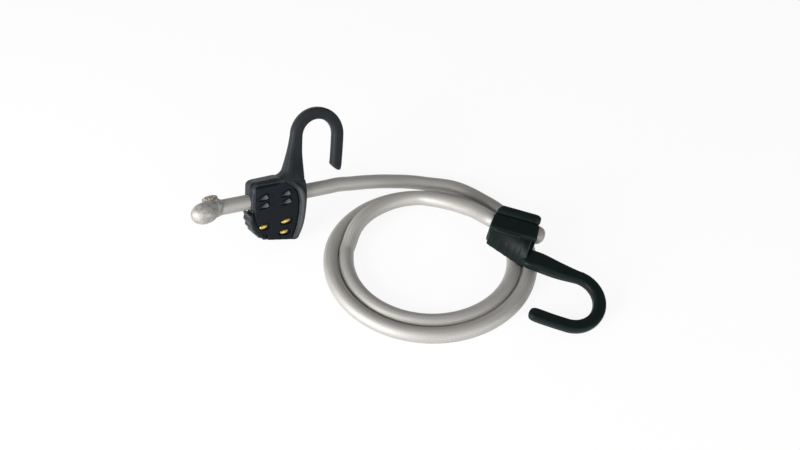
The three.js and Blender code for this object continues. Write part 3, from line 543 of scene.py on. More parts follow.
def ledge_surface(count=40, sides=16):
    """The ledge above the flank: a round bar whose radius tapers at both ends as a circle does."""
    at = np.linspace(0, 1, count)
    line = LEDGE[0] + at[:, None] * (LEDGE[1] - LEDGE[0])
    radius = LEDGE_R * np.sqrt(1 - 0.98 * np.clip(np.abs(2 * at - 1) * 10 - 9, 0, 1) ** 2)[:, None, None]
    return carried(line, (1.0, 0.0, 0.0), radius, radius, sides)


def soft_mouth(points):
    """Rounds the roll's end at the sleeve's mouth: a point near its rim goes back along the sleeve by
    the rounding less the height of a quarter circle there. It fades towards the front and the back."""
    x, y, z = points.T
    out = np.hypot(x - ROLL_AT[0], y - ROLL_AT[1]) - (ROLL_R - ROLL_END_R)
    reach = np.clip(out / ROLL_END_R, 0, 1)
    push = ROLL_END_R * (1 - np.sqrt(1 - reach**2))
    in_x, in_y, in_z = [ease((at - start) / long) for at, (start, long) in zip(points.T, ROLL_FADE)]
    return np.column_stack([x, y, z - push * (1 - in_x) * (1 - in_y) * in_z])


def rib_surface(along, aside):
    """A wedge rib: sections along its run grow from a low point to a tall blunt end. Each rises
    from its upper edge to a ridge and falls steeply at its lower edge."""
    length, width, height = RIB_SIZE
    run = np.array([-0.5, -0.2, 0.1, 0.3, 0.42, 0.5])[:, None]
    wide = np.array([0.16, 0.5, 0.78, 0.94, 1.0, 0.96])[:, None] * width / 2
    tall = np.array([0.05, 0.3, 0.62, 0.88, 1.0, 0.92])[:, None] * height
    side = np.array([1.0, 0.8, 0.2, -0.5, -0.9, -1.0, -1.0, 1.0])[None, :]
    lift = np.array([0.0, 0.66, 0.88, 1.0, 0.92, 0.0, 0.0, 0.0])[None, :]
    sunk = np.array([0.1, 0.0, 0.0, 0.0, 0.0, 0.1, 0.6, 0.6])[None, :]
    out, up = leaned(run * length * np.ones_like(side), wide * side, RIB_LEAN - CHANNEL_TILT)
    x, z = leaned(along + out, aside + up, CHANNEL_TILT)
    return np.stack([x, sunk - BODY_HALF - tall * lift, z], axis=-1)[:, ::-1]


def sink_front(points, depth):
    """Points of the cover's front moved back by a depth. Those behind it and on the ribs stay."""
    x, y, z = points.T
    front = (y < FRONT_SKIN[0] - BODY_HALF) & (y > -BODY_HALF - FRONT_SKIN[1])
    return np.column_stack([x, y + depth * front, z])


def rib_grooves(points):
    """Sinks a groove along the lower edge and the end of each rib: a bell curve of the distance from
    that edge, deeper towards the tall end."""
    length, width, _ = RIB_SIZE
    x, _, z = points.T
    sunk = np.zeros(len(points))
    for along, aside in RIBS:
        middle_x, middle_z = leaned(along, aside, CHANNEL_TILT)
        out, up = leaned(x - middle_x, z - middle_z, -RIB_LEAN)
        part = out / length
        wide = np.interp(part, (-0.5, 0.1, 0.5), (0.08, 0.39, 0.5)) * width
        under = bell(-up - wide, GROOVE_AT, GROOVE_WIDE) * ease((part + 0.4) / 0.5) * (part < 0.58)
        end = bell(out - length / 2, GROOVE_AT, GROOVE_WIDE) * (np.abs(up) < wide)
        sunk = np.maximum(sunk, np.maximum(under, end))
    return sink_front(points, GROOVE_DEPTH * sunk)


def head_dips(points):
    """Sinks an oval dip round each brass head, leaned as the head is: full depth inside, and a smooth
    step to none at its rim."""
    x, _, z = points.T
    sunk = np.zeros(len(points))
    for px, pz in (PIVOT, STUD_UPPER, STUD_LOWER):
        out, up = leaned(x - px - HEAD_ASIDE, z - pz, -HEAD_LEAN)
        reach = np.hypot(out / DIP_SIZE[0], up / DIP_SIZE[1])
        sunk = np.maximum(sunk, 1 - ease((reach - DIP_RIM[0]) / DIP_RIM[1]))
    return sink_front(points, DIP_DEPTH * sunk)


def seam_surface():
    """A low crown that covers the joint between housing and cover on the left and at the top: a flat
    oval carried along it."""
    x, z = smooth_route(SEAM, 12).T
    line = np.column_stack([x, np.full(len(x), SEAM_DEEP - SEAM_PROUD - BODY_HALF), z])
    return carried(line, (0.0, 1.0, 0.0), SEAM_WIDE, SEAM_DEEP, 12)


def heel_surface():
    """The lever's heel, which closes the slot under the cover: an outline carried across its width."""
    x, z = np.array(LEVER_HEEL).T
    sides = (-LEVER_HEEL_HALF, LEVER_HEEL_HALF)
    return np.stack([np.column_stack([x, np.full(len(x), y), z]) for y in sides])


def lip_surface():
    """The lip of the lever's grip beside the cover's edge: a four-sided section carried round the
    pivot, from an inner radius that clears the cover to the grip's own face."""
    angle, inner, outer = smooth_route(LEVER_LIP, 6).T
    reach = np.stack([inner, outer, outer, inner], axis=1)
    depth = np.broadcast_to([*LEVER_LIP_FRONT, LEVER_LIP_BACK, LEVER_LIP_BACK], reach.shape)
    rad = angle[:, None] * DEG
    return np.stack([PIVOT[0] + reach * np.cos(rad), depth, PIVOT[1] + reach * np.sin(rad)], axis=-1)


def soft_shoulder(points):
    """Rounds the housing's front towards its left side and top: a point that lies within the rounding
    of an edge goes back by the radius less the height of a quarter circle there. The rounding is
    small in front of the bore, and ends before the lever and the shank."""
    x, y, z = points.T
    bore = np.abs(z - x * math.tan(CHANNEL_TILT * DEG))
    free = ease((bore - SHOULDER_BORE[0]) / SHOULDER_BORE[1])
    radius = SHOULDER_R_AT_BORE + (SHOULDER_R - SHOULDER_R_AT_BORE) * free
    from_left = np.maximum(SHOULDER_R - (x - SHOULDER_LEFT), 0)
    from_top = np.maximum(SHOULDER_R - (SHOULDER_TOP[0] + SHOULDER_TOP[1] * x - z), 0)
    reach = np.minimum(np.hypot(from_left, from_top) / SHOULDER_R, 1)
    push = radius * (1 - np.sqrt(1 - reach**2))
    in_x, in_z = [ease((at - start) / long) for at, (start, long) in zip((x, z), SHOULDER_FADE)]
    push = push * (1 - in_x) * in_z * (z < SHOULDER_END)
    share = np.clip(-y / BODY_HALF, 0, 1)
    return np.column_stack([x, y + push * share, z])


def coordinates(mesh):
    """The points of a mesh as an array."""
    points = np.empty(len(mesh.vertices) * 3)
    mesh.vertices.foreach_get("co", points)
    return points.reshape(-1, 3)


def merged_copy(node, placed, front):
    """A CAD node's own mesh as a bmesh in millimetres of its hook's axes, its points merged, and what
    is before a front plane set back to it."""
    mesh = frame["nodes"][node].data
    points = to_hook(coordinates(mesh), placed)
    if front is not None:
        points[:, 1] = np.maximum(points[:, 1], front)
    local = mesh.copy()
    local.vertices.foreach_set("co", points.ravel())
    bm = bmesh.new()
    bm.from_mesh(local)
    bpy.data.meshes.remove(local)
    bmesh.ops.remove_doubles(bm, verts=bm.verts, dist=1e-3)
    return bm


def edge_turn(mesh):
    """How far the surface turns along the edges at each point, in radians: positive on outer edges,
    negative in corners. It is the mean of the change of normal along each edge."""
    count = len(mesh.vertices)
    no = np.empty(count * 3)
    pair = np.empty(len(mesh.edges) * 2, np.int32)
    mesh.vertex_normals.foreach_get("vector", no)
    mesh.edges.foreach_get("vertices", pair)
    co, no, pair = coordinates(mesh), no.reshape(-1, 3), pair.reshape(-1, 2)
    run = unit(co[pair[:, 1]] - co[pair[:, 0]])
    bend = np.einsum("ij,ij->i", no[pair[:, 1]] - no[pair[:, 0]], run)
    total = np.bincount(pair.ravel(), np.repeat(bend, 2), count)
    return total / np.maximum(np.bincount(pair.ravel(), minlength=count), 1)


def moulded(name, node, placed, voxel, passes, cut=None, added=(), front=None, reshape=None):
    """A CAD node as a moulding: a merged copy, cut off at a plane where its arm is drawn anew, and
    levelled at a front plane where its ribs are, is joined with the added surfaces, skinned over with
    small even cells and smoothed, so that its edges are rounded as a mould leaves them."""
    bm = merged_copy(node, placed, front)
    if cut is not None:
        everything = bm.verts[:] + bm.edges[:] + bm.faces[:]
        bmesh.ops.bisect_plane(bm, geom=everything, plane_co=cut, plane_no=cut, clear_outer=True)
        bmesh.ops.holes_fill(bm, edges=[e for e in bm.edges if e.is_boundary], sides=0)
    for rows in added:
        quads, low, high = ring_faces(*rows.shape[:2])
        extra = bpy.data.meshes.new(name + "_added")
        extra.from_pydata(rows.reshape(-1, 3), [], quads.tolist() + [low.tolist(), high.tolist()])
        bm.from_mesh(extra)
        bpy.data.meshes.remove(extra)
    rough = bpy.data.meshes.new(name)
    bm.to_mesh(rough)
    bm.free()
    obj = bpy.data.objects.new(name, rough)
    bpy.context.scene.collection.objects.link(obj)
    skin = obj.modifiers.new("Skin", "REMESH")
    skin.mode = "VOXEL"
    skin.voxel_size = voxel
    skin.use_smooth_shade = True
    soft = obj.modifiers.new("Soft edges", "SMOOTH")
    soft.factor = 0.5
    soft.iterations = passes
    bpy.context.view_layer.update()
    mesh = bpy.data.meshes.new_from_object(obj.evaluated_get(bpy.context.evaluated_depsgraph_get()))
    obj.modifiers.clear()
    obj.data = mesh
    bpy.data.meshes.remove(rough)
    mesh.name = name
    if not len(mesh.polygons):
        raise RuntimeError("no skin on " + node)
    local = coordinates(mesh)
    if reshape is not None:
        local = reshape(local)
    place = mesh.attributes.new("moulded", "FLOAT_VECTOR", "POINT")
    place.data.foreach_set("vector", local.astype(np.float32).ravel())
    mesh.vertices.foreach_set("co", to_world(local, placed).ravel())
    mesh.update()
    edge = mesh.attributes.new("edge", "FLOAT", "POINT")
    edge.data.foreach_set("value", edge_turn(mesh).astype(np.float32))
    mesh.polygons.foreach_set("use_smooth", np.ones(len(mesh.polygons), bool))
    return obj


# Materials


def wire(tree, kind, inputs=None, **settings):
    """A new node with its settings, and its inputs set or linked."""
    made = tree.nodes.new(kind)
    for key, value in settings.items():
        setattr(made, key, value)
    for socket, value in (inputs or {}).items():
        if isinstance(value, bpy.types.NodeSocket):
            tree.links.new(value, made.inputs[socket])
        else:
            made.inputs[socket].default_value = value
    return made


def calc(tree, operation, *values):
    """A Math node's result."""
    return wire(tree, "ShaderNodeMath", dict(enumerate(values)), operation=operation).outputs[0]


def ramp(tree, value, low, high, to_low=0.0, to_high=1.0):
    """A value carried from one range to another and held at its ends."""
    inputs = {"Value": value, "From Min": low, "From Max": high, "To Min": to_low, "To Max": to_high}
    return wire(tree, "ShaderNodeMapRange", inputs).outputs["Result"]


def blend_colour(tree, factor, first, second):
    """A colour between two colours."""
    inputs = {0: factor, 6: first, 7: second}
    return wire(tree, "ShaderNodeMix", inputs, data_type="RGBA").outputs[2]


def blend_value(tree, factor, first, second):
    """A value between two values."""
    return wire(tree, "ShaderNodeMix", {0: factor, 2: first, 3: second}).outputs[0]


def noise(tree, at, scale, detail):
    """A noise pattern's value."""
    return wire(tree, "ShaderNodeTexNoise", {"Vector": at, "Scale": scale, "Detail": detail}).outputs[0]


def own_place(tree):
    """A piece's own coordinates, in metres."""
    return wire(tree, "ShaderNodeTexCoord").outputs["Object"]


def bump(tree, shader, height, strength, distance):
    """Fine relief on a shader's normal."""
    made = wire(tree, "ShaderNodeBump", {"Height": height, "Strength": strength, "Distance": distance})
    tree.links.new(made.outputs[0], shader.inputs["Normal"])


def new_material(name):
    """A material with its node tree and its shader."""
    material = bpy.data.materials.new(name)
    material.use_nodes = True
    tree = material.node_tree
    return material, tree, tree.nodes["Principled BSDF"]


def rgba(colour, share=1.0):
    """A colour times a share, with full alpha."""
    return (*[c * share for c in colour], 1.0)


def plastic_material(name, colour, rough, wear_and_highlight, proud=None):
    """Moulded plastic: a fine spark-eroded grain, faint flow marks, paler outer edges that are partly wear
    and partly painted highlight, and painted shade in the corners.
    Where it stands proud of the front, between two depths, it gets a painted highlight: a paler colour."""
    material, tree, shader = new_material(name)
    place = wire(tree, "ShaderNodeAttribute", attribute_name="moulded").outputs["Vector"]
    edge = wire(tree, "ShaderNodeAttribute", attribute_name="edge").outputs["Fac"]
    flow = noise(tree, place, 0.14, 3.0)
    grain = noise(tree, place, 2.6, 2.0)
    rub = noise(tree, place, 0.9, 4.0)
    # Outer edges turn paler: partly wear, partly a painted highlight on the rounded edges.
    outer = calc(tree, "MULTIPLY", ramp(tree, edge, 0.03, 0.16), ramp(tree, rub, 0.3, 0.7, 0.35, 1.0))
    # Corners turn darker: painted shade.
    inner = ramp(tree, edge, -0.02, -0.14)
    body = blend_colour(tree, flow, rgba(colour, 0.8), rgba(colour, 1.25))
    body = blend_colour(tree, outer, body, rgba(colour, wear_and_highlight))
    body = blend_colour(tree, inner, body, rgba(colour, 0.5))
    # Painted highlight: what stands proud of the front between two depths is blended to a pale colour.
    if proud:
        low, high, pale = proud
        depth = wire(tree, "ShaderNodeSeparateXYZ", {0: place}).outputs[1]
        body = blend_colour(tree, ramp(tree, depth, low, high), body, rgba(pale))
    tree.links.new(body, shader.inputs["Base Color"])
    dull = ramp(tree, flow, 0.3, 0.7, rough - 0.05, rough + 0.06)
    polish = calc(tree, "MULTIPLY", outer, 0.08)
    tree.links.new(calc(tree, "SUBTRACT", dull, polish), shader.inputs["Roughness"])
    bump(tree, shader, grain, 0.25, 0.00006)
    shader.inputs["Specular IOR Level"].default_value = 0.11
    return material


def braid_material(name, settings, bunched=0.0):
    """Braided polyester sleeve: round-backed yarns in the braid's cells, fine filaments along them with a
    painted glint, long faint streaks along the cord, and painted shade in the gaps between the yarns. Where
    the sleeve is bunched in a knot, its tone and relief are patchy."""
    material, tree, shader = new_material(name)
    at = wire(tree, "ShaderNodeSeparateXYZ", {0: wire(tree, "ShaderNodeUVMap", uv_map="braid").outputs[0]})
    u, v = at.outputs[0], at.outputs[1]
    a = calc(tree, "ADD", v, u)
    b = calc(tree, "SUBTRACT", v, u)
    cell = calc(tree, "ADD", calc(tree, "FLOOR", a), calc(tree, "FLOOR", b))
    over = calc(tree, "LESS_THAN", calc(tree, "FLOORED_MODULO", cell, 2.0), 0.5)
    fa, fb = calc(tree, "FRACT", a), calc(tree, "FRACT", b)
    across = blend_value(tree, over, fb, fa)
    along = blend_value(tree, over, fa, fb)
    middle = calc(tree, "PINGPONG", across, 0.5)
    back = calc(tree, "POWER", calc(tree, "MULTIPLY", middle, 2.0), 0.45)
    dip = calc(tree, "POWER", calc(tree, "MULTIPLY", calc(tree, "PINGPONG", along, 0.5), 2.0), 0.3)
    height = calc(tree, "MULTIPLY", back, dip)
    yarn = wire(tree, "ShaderNodeCombineXYZ", {0: calc(tree, "MULTIPLY", across, 7.0), 1: along, 2: cell})
    filament = noise(tree, yarn.outputs[0], 1.6, 2.0)
    stretched = {0: calc(tree, "MULTIPLY", u, 0.05), 1: calc(tree, "MULTIPLY", v, 0.9)}
    streak = noise(tree, wire(tree, "ShaderNodeCombineXYZ", stretched).outputs[0], 1.5, 3.0)
    # Painted shade: the gaps between the yarns take the darker colour, which also tints the streaks and the
    # bunched patches.
    light, dark = rgba(settings.colour), rgba(settings.gap_shade_and_streak_colour)
    body = blend_colour(tree, ramp(tree, height, 0.1, 0.75), dark, light)
    streaked = ramp(tree, streak, 0.35, 0.65, 0.0, 0.55)
    body = blend_colour(tree, streaked, body, rgba(settings.gap_shade_and_streak_colour, 0.95))
    # Painted glint: filaments are made paler than the yarn.
    filament_glint = ramp(tree, filament, 0.35, 0.7, 0.0, 0.18)
    body = blend_colour(tree, filament_glint, body, rgba(settings.colour, 1.35))
    relief = calc(tree, "ADD", height, calc(tree, "MULTIPLY", filament, 0.35))
    if bunched:
        patch = noise(tree, own_place(tree), 330.0, 4.0)
        folded = ramp(tree, patch, 0.42, 0.66, 0.0, bunched)
        body = blend_colour(tree, folded, body, rgba(settings.gap_shade_and_streak_colour, 0.5))
        relief = calc(tree, "ADD", relief, calc(tree, "MULTIPLY", patch, 6.0 * bunched))
    tree.links.new(body, shader.inputs["Base Color"])
    tree.links.new(ramp(tree, filament, 0.3, 0.7, 0.5, 0.64), shader.inputs["Roughness"])
    bump(tree, shader, relief, 0.5, 0.00015)
    shader.inputs["Metallic"].default_value = 0.5
    shader.inputs["Sheen Weight"].default_value = 0.1
    shader.inputs["Sheen Roughness"].default_value = 0.4
    shader.inputs["Specular IOR Level"].default_value = 0.45
    return material


def core_material(colour):
    """Cut rubber: tan strands of slightly different shades with a chalky face."""
    material, tree, shader = new_material("rubber_core")
    place = own_place(tree)
    patch = wire(tree, "ShaderNodeTexVoronoi", {"Vector": place, "Scale": 700.0}).outputs["Color"]
    shade = wire(tree, "ShaderNodeRGBToBW", {0: patch}).outputs[0]
    speck = noise(tree, place, 2500.0, 2.0)
    tone = blend_colour(tree, ramp(tree, speck, 0.35, 0.65), rgba(colour, 0.6), rgba(colour, 1.2))
    tone = blend_colour(tree, ramp(tree, shade, 0.2, 0.8, 0.0, 0.4), tone, rgba(colour, 0.4))
    tree.links.new(tone, shader.inputs["Base Color"])
    bump(tree, shader, speck, 0.5, 0.0001)
    shader.inputs["Roughness"].default_value = 0.8
    return material


def metal_material(name, colour, rough, scratch):
    """Bare metal with fine drawn scratches and a faint tarnish."""
    material, tree, shader = new_material(name)
    place = own_place(tree)
    fine = noise(tree, place, 2200.0, 3.0)
    tarnish = noise(tree, place, 420.0, 3.0)
    tone = blend_colour(tree, ramp(tree, tarnish, 0.4, 0.7), rgba(colour), rgba(colour, 0.74))
    tree.links.new(tone, shader.inputs["Base Color"])
    tree.links.new(ramp(tree, fine, 0.3, 0.7, rough - 0.08, rough + 0.1), shader.inputs["Roughness"])
    bump(tree, shader, fine, scratch, 0.00005)
    shader.inputs["Metallic"].default_value = 1.0
    return material


def finish_piece(obj, material, body, slot, *nodes):
    """Gives a piece its material and the body that it moves with, and hides the nodes it stands for. The slot
    is not used.
    """
    obj.data.materials.clear()
    obj.data.materials.append(material)
    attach(obj, body)
    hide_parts(*nodes)


# Settings


class CordSettings(bpy.types.PropertyGroup):
    """Sizes and colours of the braided cord."""

    diameter: FloatProperty(name="Diameter", description="Slack cord across", default=0.010, unit="LENGTH")
    yarns: IntProperty(name="Yarns", description="Braid cells round the cord", default=24, min=8, max=32)
    pick: FloatProperty(name="Pick", description="Length of one braid cell", default=0.0026, unit="LENGTH")
    relief: FloatProperty(name="Relief", description="Depth between yarns", default=0.0001, unit="LENGTH")
    step: FloatProperty(name="Step", description="Distance between rings", default=0.00087, unit="LENGTH")
    colour: FloatVectorProperty(
        name="Yarn", description="Colour of the yarn", default=(0.575, 0.558, 0.53), subtype="COLOR",
    )
    # Painted shade between the yarns; the same colour also tints the streaks and the bunched patches.
    gap_shade_and_streak_colour: FloatVectorProperty(
        name="Gaps", description="Colour between the yarns", default=(0.37, 0.358, 0.336), subtype="COLOR",
    )
    core_colour: FloatVectorProperty(
        name="Core", description="Colour of the cut rubber", default=(0.53, 0.46, 0.37), subtype="COLOR",
    )


class HookSettings(bpy.types.PropertyGroup):
    """Finish of the two hooks."""

    voxel: FloatProperty(name="Cell", description="Cell of the skin, in mm", default=0.4)
    passes: IntProperty(name="Passes", description="Smoothing passes over the edges", default=4)
    # The adjuster's charcoal is a lit copy of the cover's darker one: the same plastic, paler for the lit
    # sides and darker for the shaded front.
    adjuster_lit_colour: FloatVectorProperty(
        name="Adjuster", description="Charcoal plastic", default=(0.0198, 0.0234, 0.0267), subtype="COLOR",
    )
    cover_shaded_colour: FloatVectorProperty(
        name="Cover", description="Darker plastic", default=(0.006, 0.0088, 0.0125), subtype="COLOR",
    )
    end_colour: FloatVectorProperty(
        name="End hook", description="Black plastic", default=(0.005, 0.0092, 0.0089), subtype="COLOR",
    )
    brass_colour: FloatVectorProperty(
        name="Brass", description="Pin and studs", default=(0.7, 0.52, 0.15), subtype="COLOR",
    )
    steel_colour: FloatVectorProperty(
        name="Steel", description="Spring wire", default=(0.55, 0.56, 0.58), subtype="COLOR",
    )


class StageSettings(bpy.types.PropertyGroup):
    """Camera, floor and light."""

    lens: FloatProperty(name="Lens", description="Focal length in mm on a 36 mm sensor", default=32.4)
    eye: FloatVectorProperty(
        name="Eye", description="Place of the camera", default=(-0.01244, -0.33884, 0.3771), subtype="XYZ",
    )
    target: FloatVectorProperty(
        name="Target", description="Middle of the picture", default=(-0.01244, 0.02786, 0.0), subtype="XYZ",
    )
    floor_colour: FloatVectorProperty(
        name="Floor", description="Colour that it throws back", default=(0.4, 0.4, 0.4), subtype="COLOR",
    )
    sky: FloatProperty(name="Sky", description="Strength of the soft light from all round", default=0.37)
    above: FloatProperty(name="Above", description="Strength of the backdrop overhead, as seen", default=0.16)


class BungeeSettings(bpy.types.PropertyGroup):
    """All settings of the bungee cord."""

    cord: PointerProperty(type=CordSettings)
    hooks: PointerProperty(type=HookSettings)
    stage: PointerProperty(type=StageSettings)


# Operators


class BUNGEE_OT_stage(bpy.types.Operator):
    """Set the camera, the pale floor and the soft light"""

    bl_idname = "bungee.stage"
    bl_label = "Stage"

    def execute(self, context):
        stage = context.scene.bungee.stage
        camera = bpy.data.objects.new("camera", bpy.data.cameras.new("camera"))
        camera.data.lens = stage.lens
        camera.data.sensor_width = 36.0
        camera.data.sensor_fit = "HORIZONTAL"
        camera.data.clip_start = 0.01
        eye, target = Vector(stage.eye), Vector(stage.target)
        camera.location = eye
        camera.rotation_euler = (target - eye).to_track_quat("-Z", "Y").to_euler()
        context.scene.collection.objects.link(camera)
        context.scene.camera = camera
        context.scene.view_settings.view_transform = "Standard"
        self.lamps(context)
        self.floor(stage)
        self.sky(context, stage)
        return {"FINISHED"}

    def lamps(self, context):
        """Two square soft boxes, low in front, that point at the object."""
        for name, at, size, power in LAMPS:
            data = bpy.data.lights.new(name, "AREA")
            data.shape = "SQUARE"
            data.size = size
            data.energy = power
            lamp = bpy.data.objects.new(name, data)
            lamp.location = at
            lamp.rotation_euler = (-Vector(at)).to_track_quat("-Z", "Y").to_euler()
            context.scene.collection.objects.link(lamp)

    def floor(self, stage):
        """A large square under the object. It is seen as nearly white and keeps a soft shadow."""
        x, y = np.meshgrid([-FLOOR_HALF, FLOOR_HALF], [-FLOOR_HALF, FLOOR_HALF])
        points = np.stack([x, y, np.full_like(x, -FLOOR_DROP)], axis=-1).reshape(-1, 3)
        obj = mesh_object("floor", points, [[0, 1, 3, 2]])
        material, tree, shader = new_material("pale_floor")
        seen = self.seen(tree)
        tone = blend_colour(tree, seen, rgba(stage.floor_colour), FLOOR_SEEN)
        tree.links.new(tone, shader.inputs["Base Color"])
        shader.inputs["Roughness"].default_value = 0.9
        shader.inputs["Specular IOR Level"].default_value = 0.1
        share, strength = FLOOR_GLOW
        glow = wire(tree, "ShaderNodeEmission", {"Color": WHITE, "Strength": strength})
        inputs = {0: calc(tree, "MULTIPLY", seen, share), 1: shader.outputs[0], 2: glow.outputs[0]}
        mixed = wire(tree, "ShaderNodeMixShader", inputs)
        tree.links.new(mixed.outputs[0], tree.nodes["Material Output"].inputs[0])
        obj.data.materials.append(material)

    def seen(self, tree):
        """1 for what the camera sees straight, in a reflection or through glass."""
        path = wire(tree, "ShaderNodeLightPath")
        direct = calc(tree, "MAXIMUM", path.outputs["Is Camera Ray"], path.outputs["Is Glossy Ray"])
        return calc(tree, "MAXIMUM", direct, path.outputs["Is Transmission Ray"])

    def sky(self, context, stage):
        """An even dim light, seen as white at the horizon and as dark overhead."""
        world = bpy.data.worlds.new("studio")
        context.scene.world = world
        world.use_nodes = True
        tree = world.node_tree
        tree.nodes.clear()
        aim = wire(tree, "ShaderNodeSeparateXYZ", {0: wire(tree, "ShaderNodeTexCoord").outputs["Generated"]})
        backdrop = ramp(tree, aim.outputs[2], *BACKDROP_RISE, BACKDROP, stage.above)
        strength = blend_value(tree, self.seen(tree), stage.sky, backdrop)
        light = wire(tree, "ShaderNodeBackground", {"Color": WHITE, "Strength": strength})
        wire(tree, "ShaderNodeOutputWorld", {0: light.outputs[0]})


class BUNGEE_OT_cord(bpy.types.Operator):
    """Braid the cord along its route, with its knots and its cut core"""

    bl_idname = "bungee.cord"
    bl_label = "Cord and knots"

    def execute(self, context):
        cord = context.scene.bungee.cord
        braid = braid_material("silver_braid", cord)
        bunched = braid_material("bunched_braid", cord, bunched=0.6)
        path, length = even_steps(cord_route(), cord.step)
        rows, along = braided_tube(path, cord.diameter / 2 + SWELL * MM, cord)
        rows[..., 2] = np.maximum(rows[..., 2], 0.0)
        main = tubes_object("braided_cord", [(rows, along)], cord.yarns)
        finish_piece(main, braid, "cord", "cord", "cord_tail", "cord_lead", "cord_coil", "cord_end")
        tail = self.tail_knot(cord)
        finish_piece(tail, bunched, "cord", "cord", "tail_knot")
        core = self.cut_core()
        finish_piece(core, core_material(cord.core_colour), "cord", "core", "core_end")
        end = self.end_knot(cord)
        finish_piece(end, bunched, "cord", "cord", "end_knot")
        return {"FINISHED"}

    def tail_knot(self, cord):
        """The fat front loop, the stub that stands up behind, and a turn drawn tight round the neck,
        which sways along it by a sine."""
        about = np.linspace(*NECK_TURN, 60) * math.pi
        x, y, z = NECK_AT
        neck = np.column_stack([
            x + NECK_SWAY * np.sin(about), y + NECK_R * np.cos(about), z + NECK_R * np.sin(about),
            np.full(60, NECK_STRAND),
        ])
        behind = (0.85, 0.48, -0.21)
        strands = ((TAIL_LOOP, (0.2, -0.6, 0.77)), (STUB, behind), (neck, behind))
        along = [KNOT_FROM, 0, 0, 0]
        tubes = [knot_strand(at + along, channel_frame(), cord, reference) for at, reference in strands]
        return tubes_object("tail_knot_loop", tubes, cord.yarns)

    def cut_core(self):
        """The core's cut end: a bundle of rubber strands, one in the middle and two rings round it. Each
        is a profile of radius and height turned round its own axis, and is a little longer or shorter
        by a sine of its place."""
        before, end = STUB[-2:, :3] + [KNOT_FROM, 0, 0]
        run = unit(end - before)
        side = unit(np.cross(run, [0.0, 1.0, 0.0]))
        other = np.cross(side, run)
        ring = np.repeat([0, CORE_RING, 2 * CORE_RING], [1, 6, 12])
        angle = np.concatenate([[0], np.arange(6) * math.pi / 3, (np.arange(12) + 0.5) * math.pi / 6])
        reach, height = CORE_PROFILE.T[..., None]
        across = -np.cos(ring_angles(12)) * reach
        lift = np.sin(ring_angles(12)) * reach
        tubes = []
        for r, a in zip(ring, angle):
            foot = end + r * (math.cos(a) * side + math.sin(a) * other)
            ends = height + CORE_UNEVEN * math.sin(5 * a + r)
            points = foot + ends[..., None] * run + across[..., None] * side + lift[..., None] * other
            tubes.append((to_world(points, channel_frame()), None))
        return tubes_object("cut_core", tubes)

    def end_knot(self, cord):
        """The knot in the pocket: a fat strand along the sleeve that bulges out of its mouth, and a
        strand drawn round it aslant, whose height goes by a cosine."""
        about = np.linspace(0, WRAP_TURN, 60) * math.pi
        slant, late = WRAP_SLANT
        wrap = np.column_stack([
            WRAP_R * np.cos(about), WRAP_R * np.sin(about), WRAP_AT + slant * np.cos(about - late),
            np.full(60, WRAP_STRAND),
        ])
        strands = ((END_KNOT, (0.1, 0.2, 1.0)), (wrap, (0.956, -0.265, -0.122)))
        tubes = [knot_strand(at, end_frame(), cord, reference) for at, reference in strands]
        return tubes_object("end_knot_loop", tubes, cord.yarns)


class BUNGEE_OT_adjuster(bpy.types.Operator):
    """Mould the adjuster hook, its cover and its release lever"""

    bl_idname = "bungee.adjuster"
    bl_label = "Adjuster hook"

    def execute(self, context):
        hooks = context.scene.bungee.hooks
        # Housing and lever take the lit copy of the charcoal and the cover the shaded copy; both paint a
        # highlight where they stand proud of the front.
        charcoal = plastic_material(
            "charcoal_plastic", hooks.adjuster_lit_colour, rough=0.34, wear_and_highlight=2.2, proud=PROUD_HIGHLIGHT,
        )
        smooth = plastic_material(
            "charcoal_cover", hooks.cover_shaded_colour, rough=0.34, wear_and_highlight=1.1, proud=PROUD_HIGHLIGHT,
        )
        fine = hooks.voxel * 0.7
        placed = adjuster_frame()
        arm = arm_surface(ADJUSTER_SHANK, ADJUSTER_CURL, ADJUSTER_TIP, 0.0)
        hook = moulded(
            "adjuster_moulding", "adjuster_hook", placed, hooks.voxel, hooks.passes,
            cut=(0, 0, ADJUSTER_CUT), added=[arm, seam_surface()], reshape=soft_shoulder,
        )
        finish_piece(hook, charcoal, "adjuster", "housing", "adjuster_hook")
        cover = moulded(
            "cover_moulding", "adjuster_cover", placed, fine, hooks.passes,
            added=[rib_surface(*at) for at in RIBS], front=-BODY_HALF,
            reshape=lambda points: soft_shoulder(head_dips(rib_grooves(points))),
        )
        finish_piece(cover, smooth, "adjuster", "housing", "adjuster_cover")
        lever = moulded(
            "lever_moulding", "release_lever", placed, fine, hooks.passes * 2,
            added=[heel_surface(), lip_surface()],
        )
        finish_piece(lever, charcoal, "lever", "housing", "release_lever")
        return {"FINISHED"}


class BUNGEE_OT_end_hook(bpy.types.Operator):
    """Mould the end hook"""

    bl_idname = "bungee.end_hook"
    bl_label = "End hook"

    def execute(self, context):
        hooks = context.scene.bungee.hooks
        black = plastic_material("black_plastic", hooks.end_colour, rough=0.4, wear_and_highlight=3.2)
        arm = arm_surface(END_SHANK, END_CURL, END_TIP, END_ARM_BACK)
        hook = moulded(
            "end_hook_moulding", "end_hook", end_frame(), hooks.voxel, hooks.passes,
            cut=(FLANK_CUT, 0, 0), added=[arm, flank_surface(), ledge_surface()], reshape=soft_mouth,
        )
        finish_piece(hook, black, "end_hook", "end_hook", "end_hook")
        return {"FINISHED"}


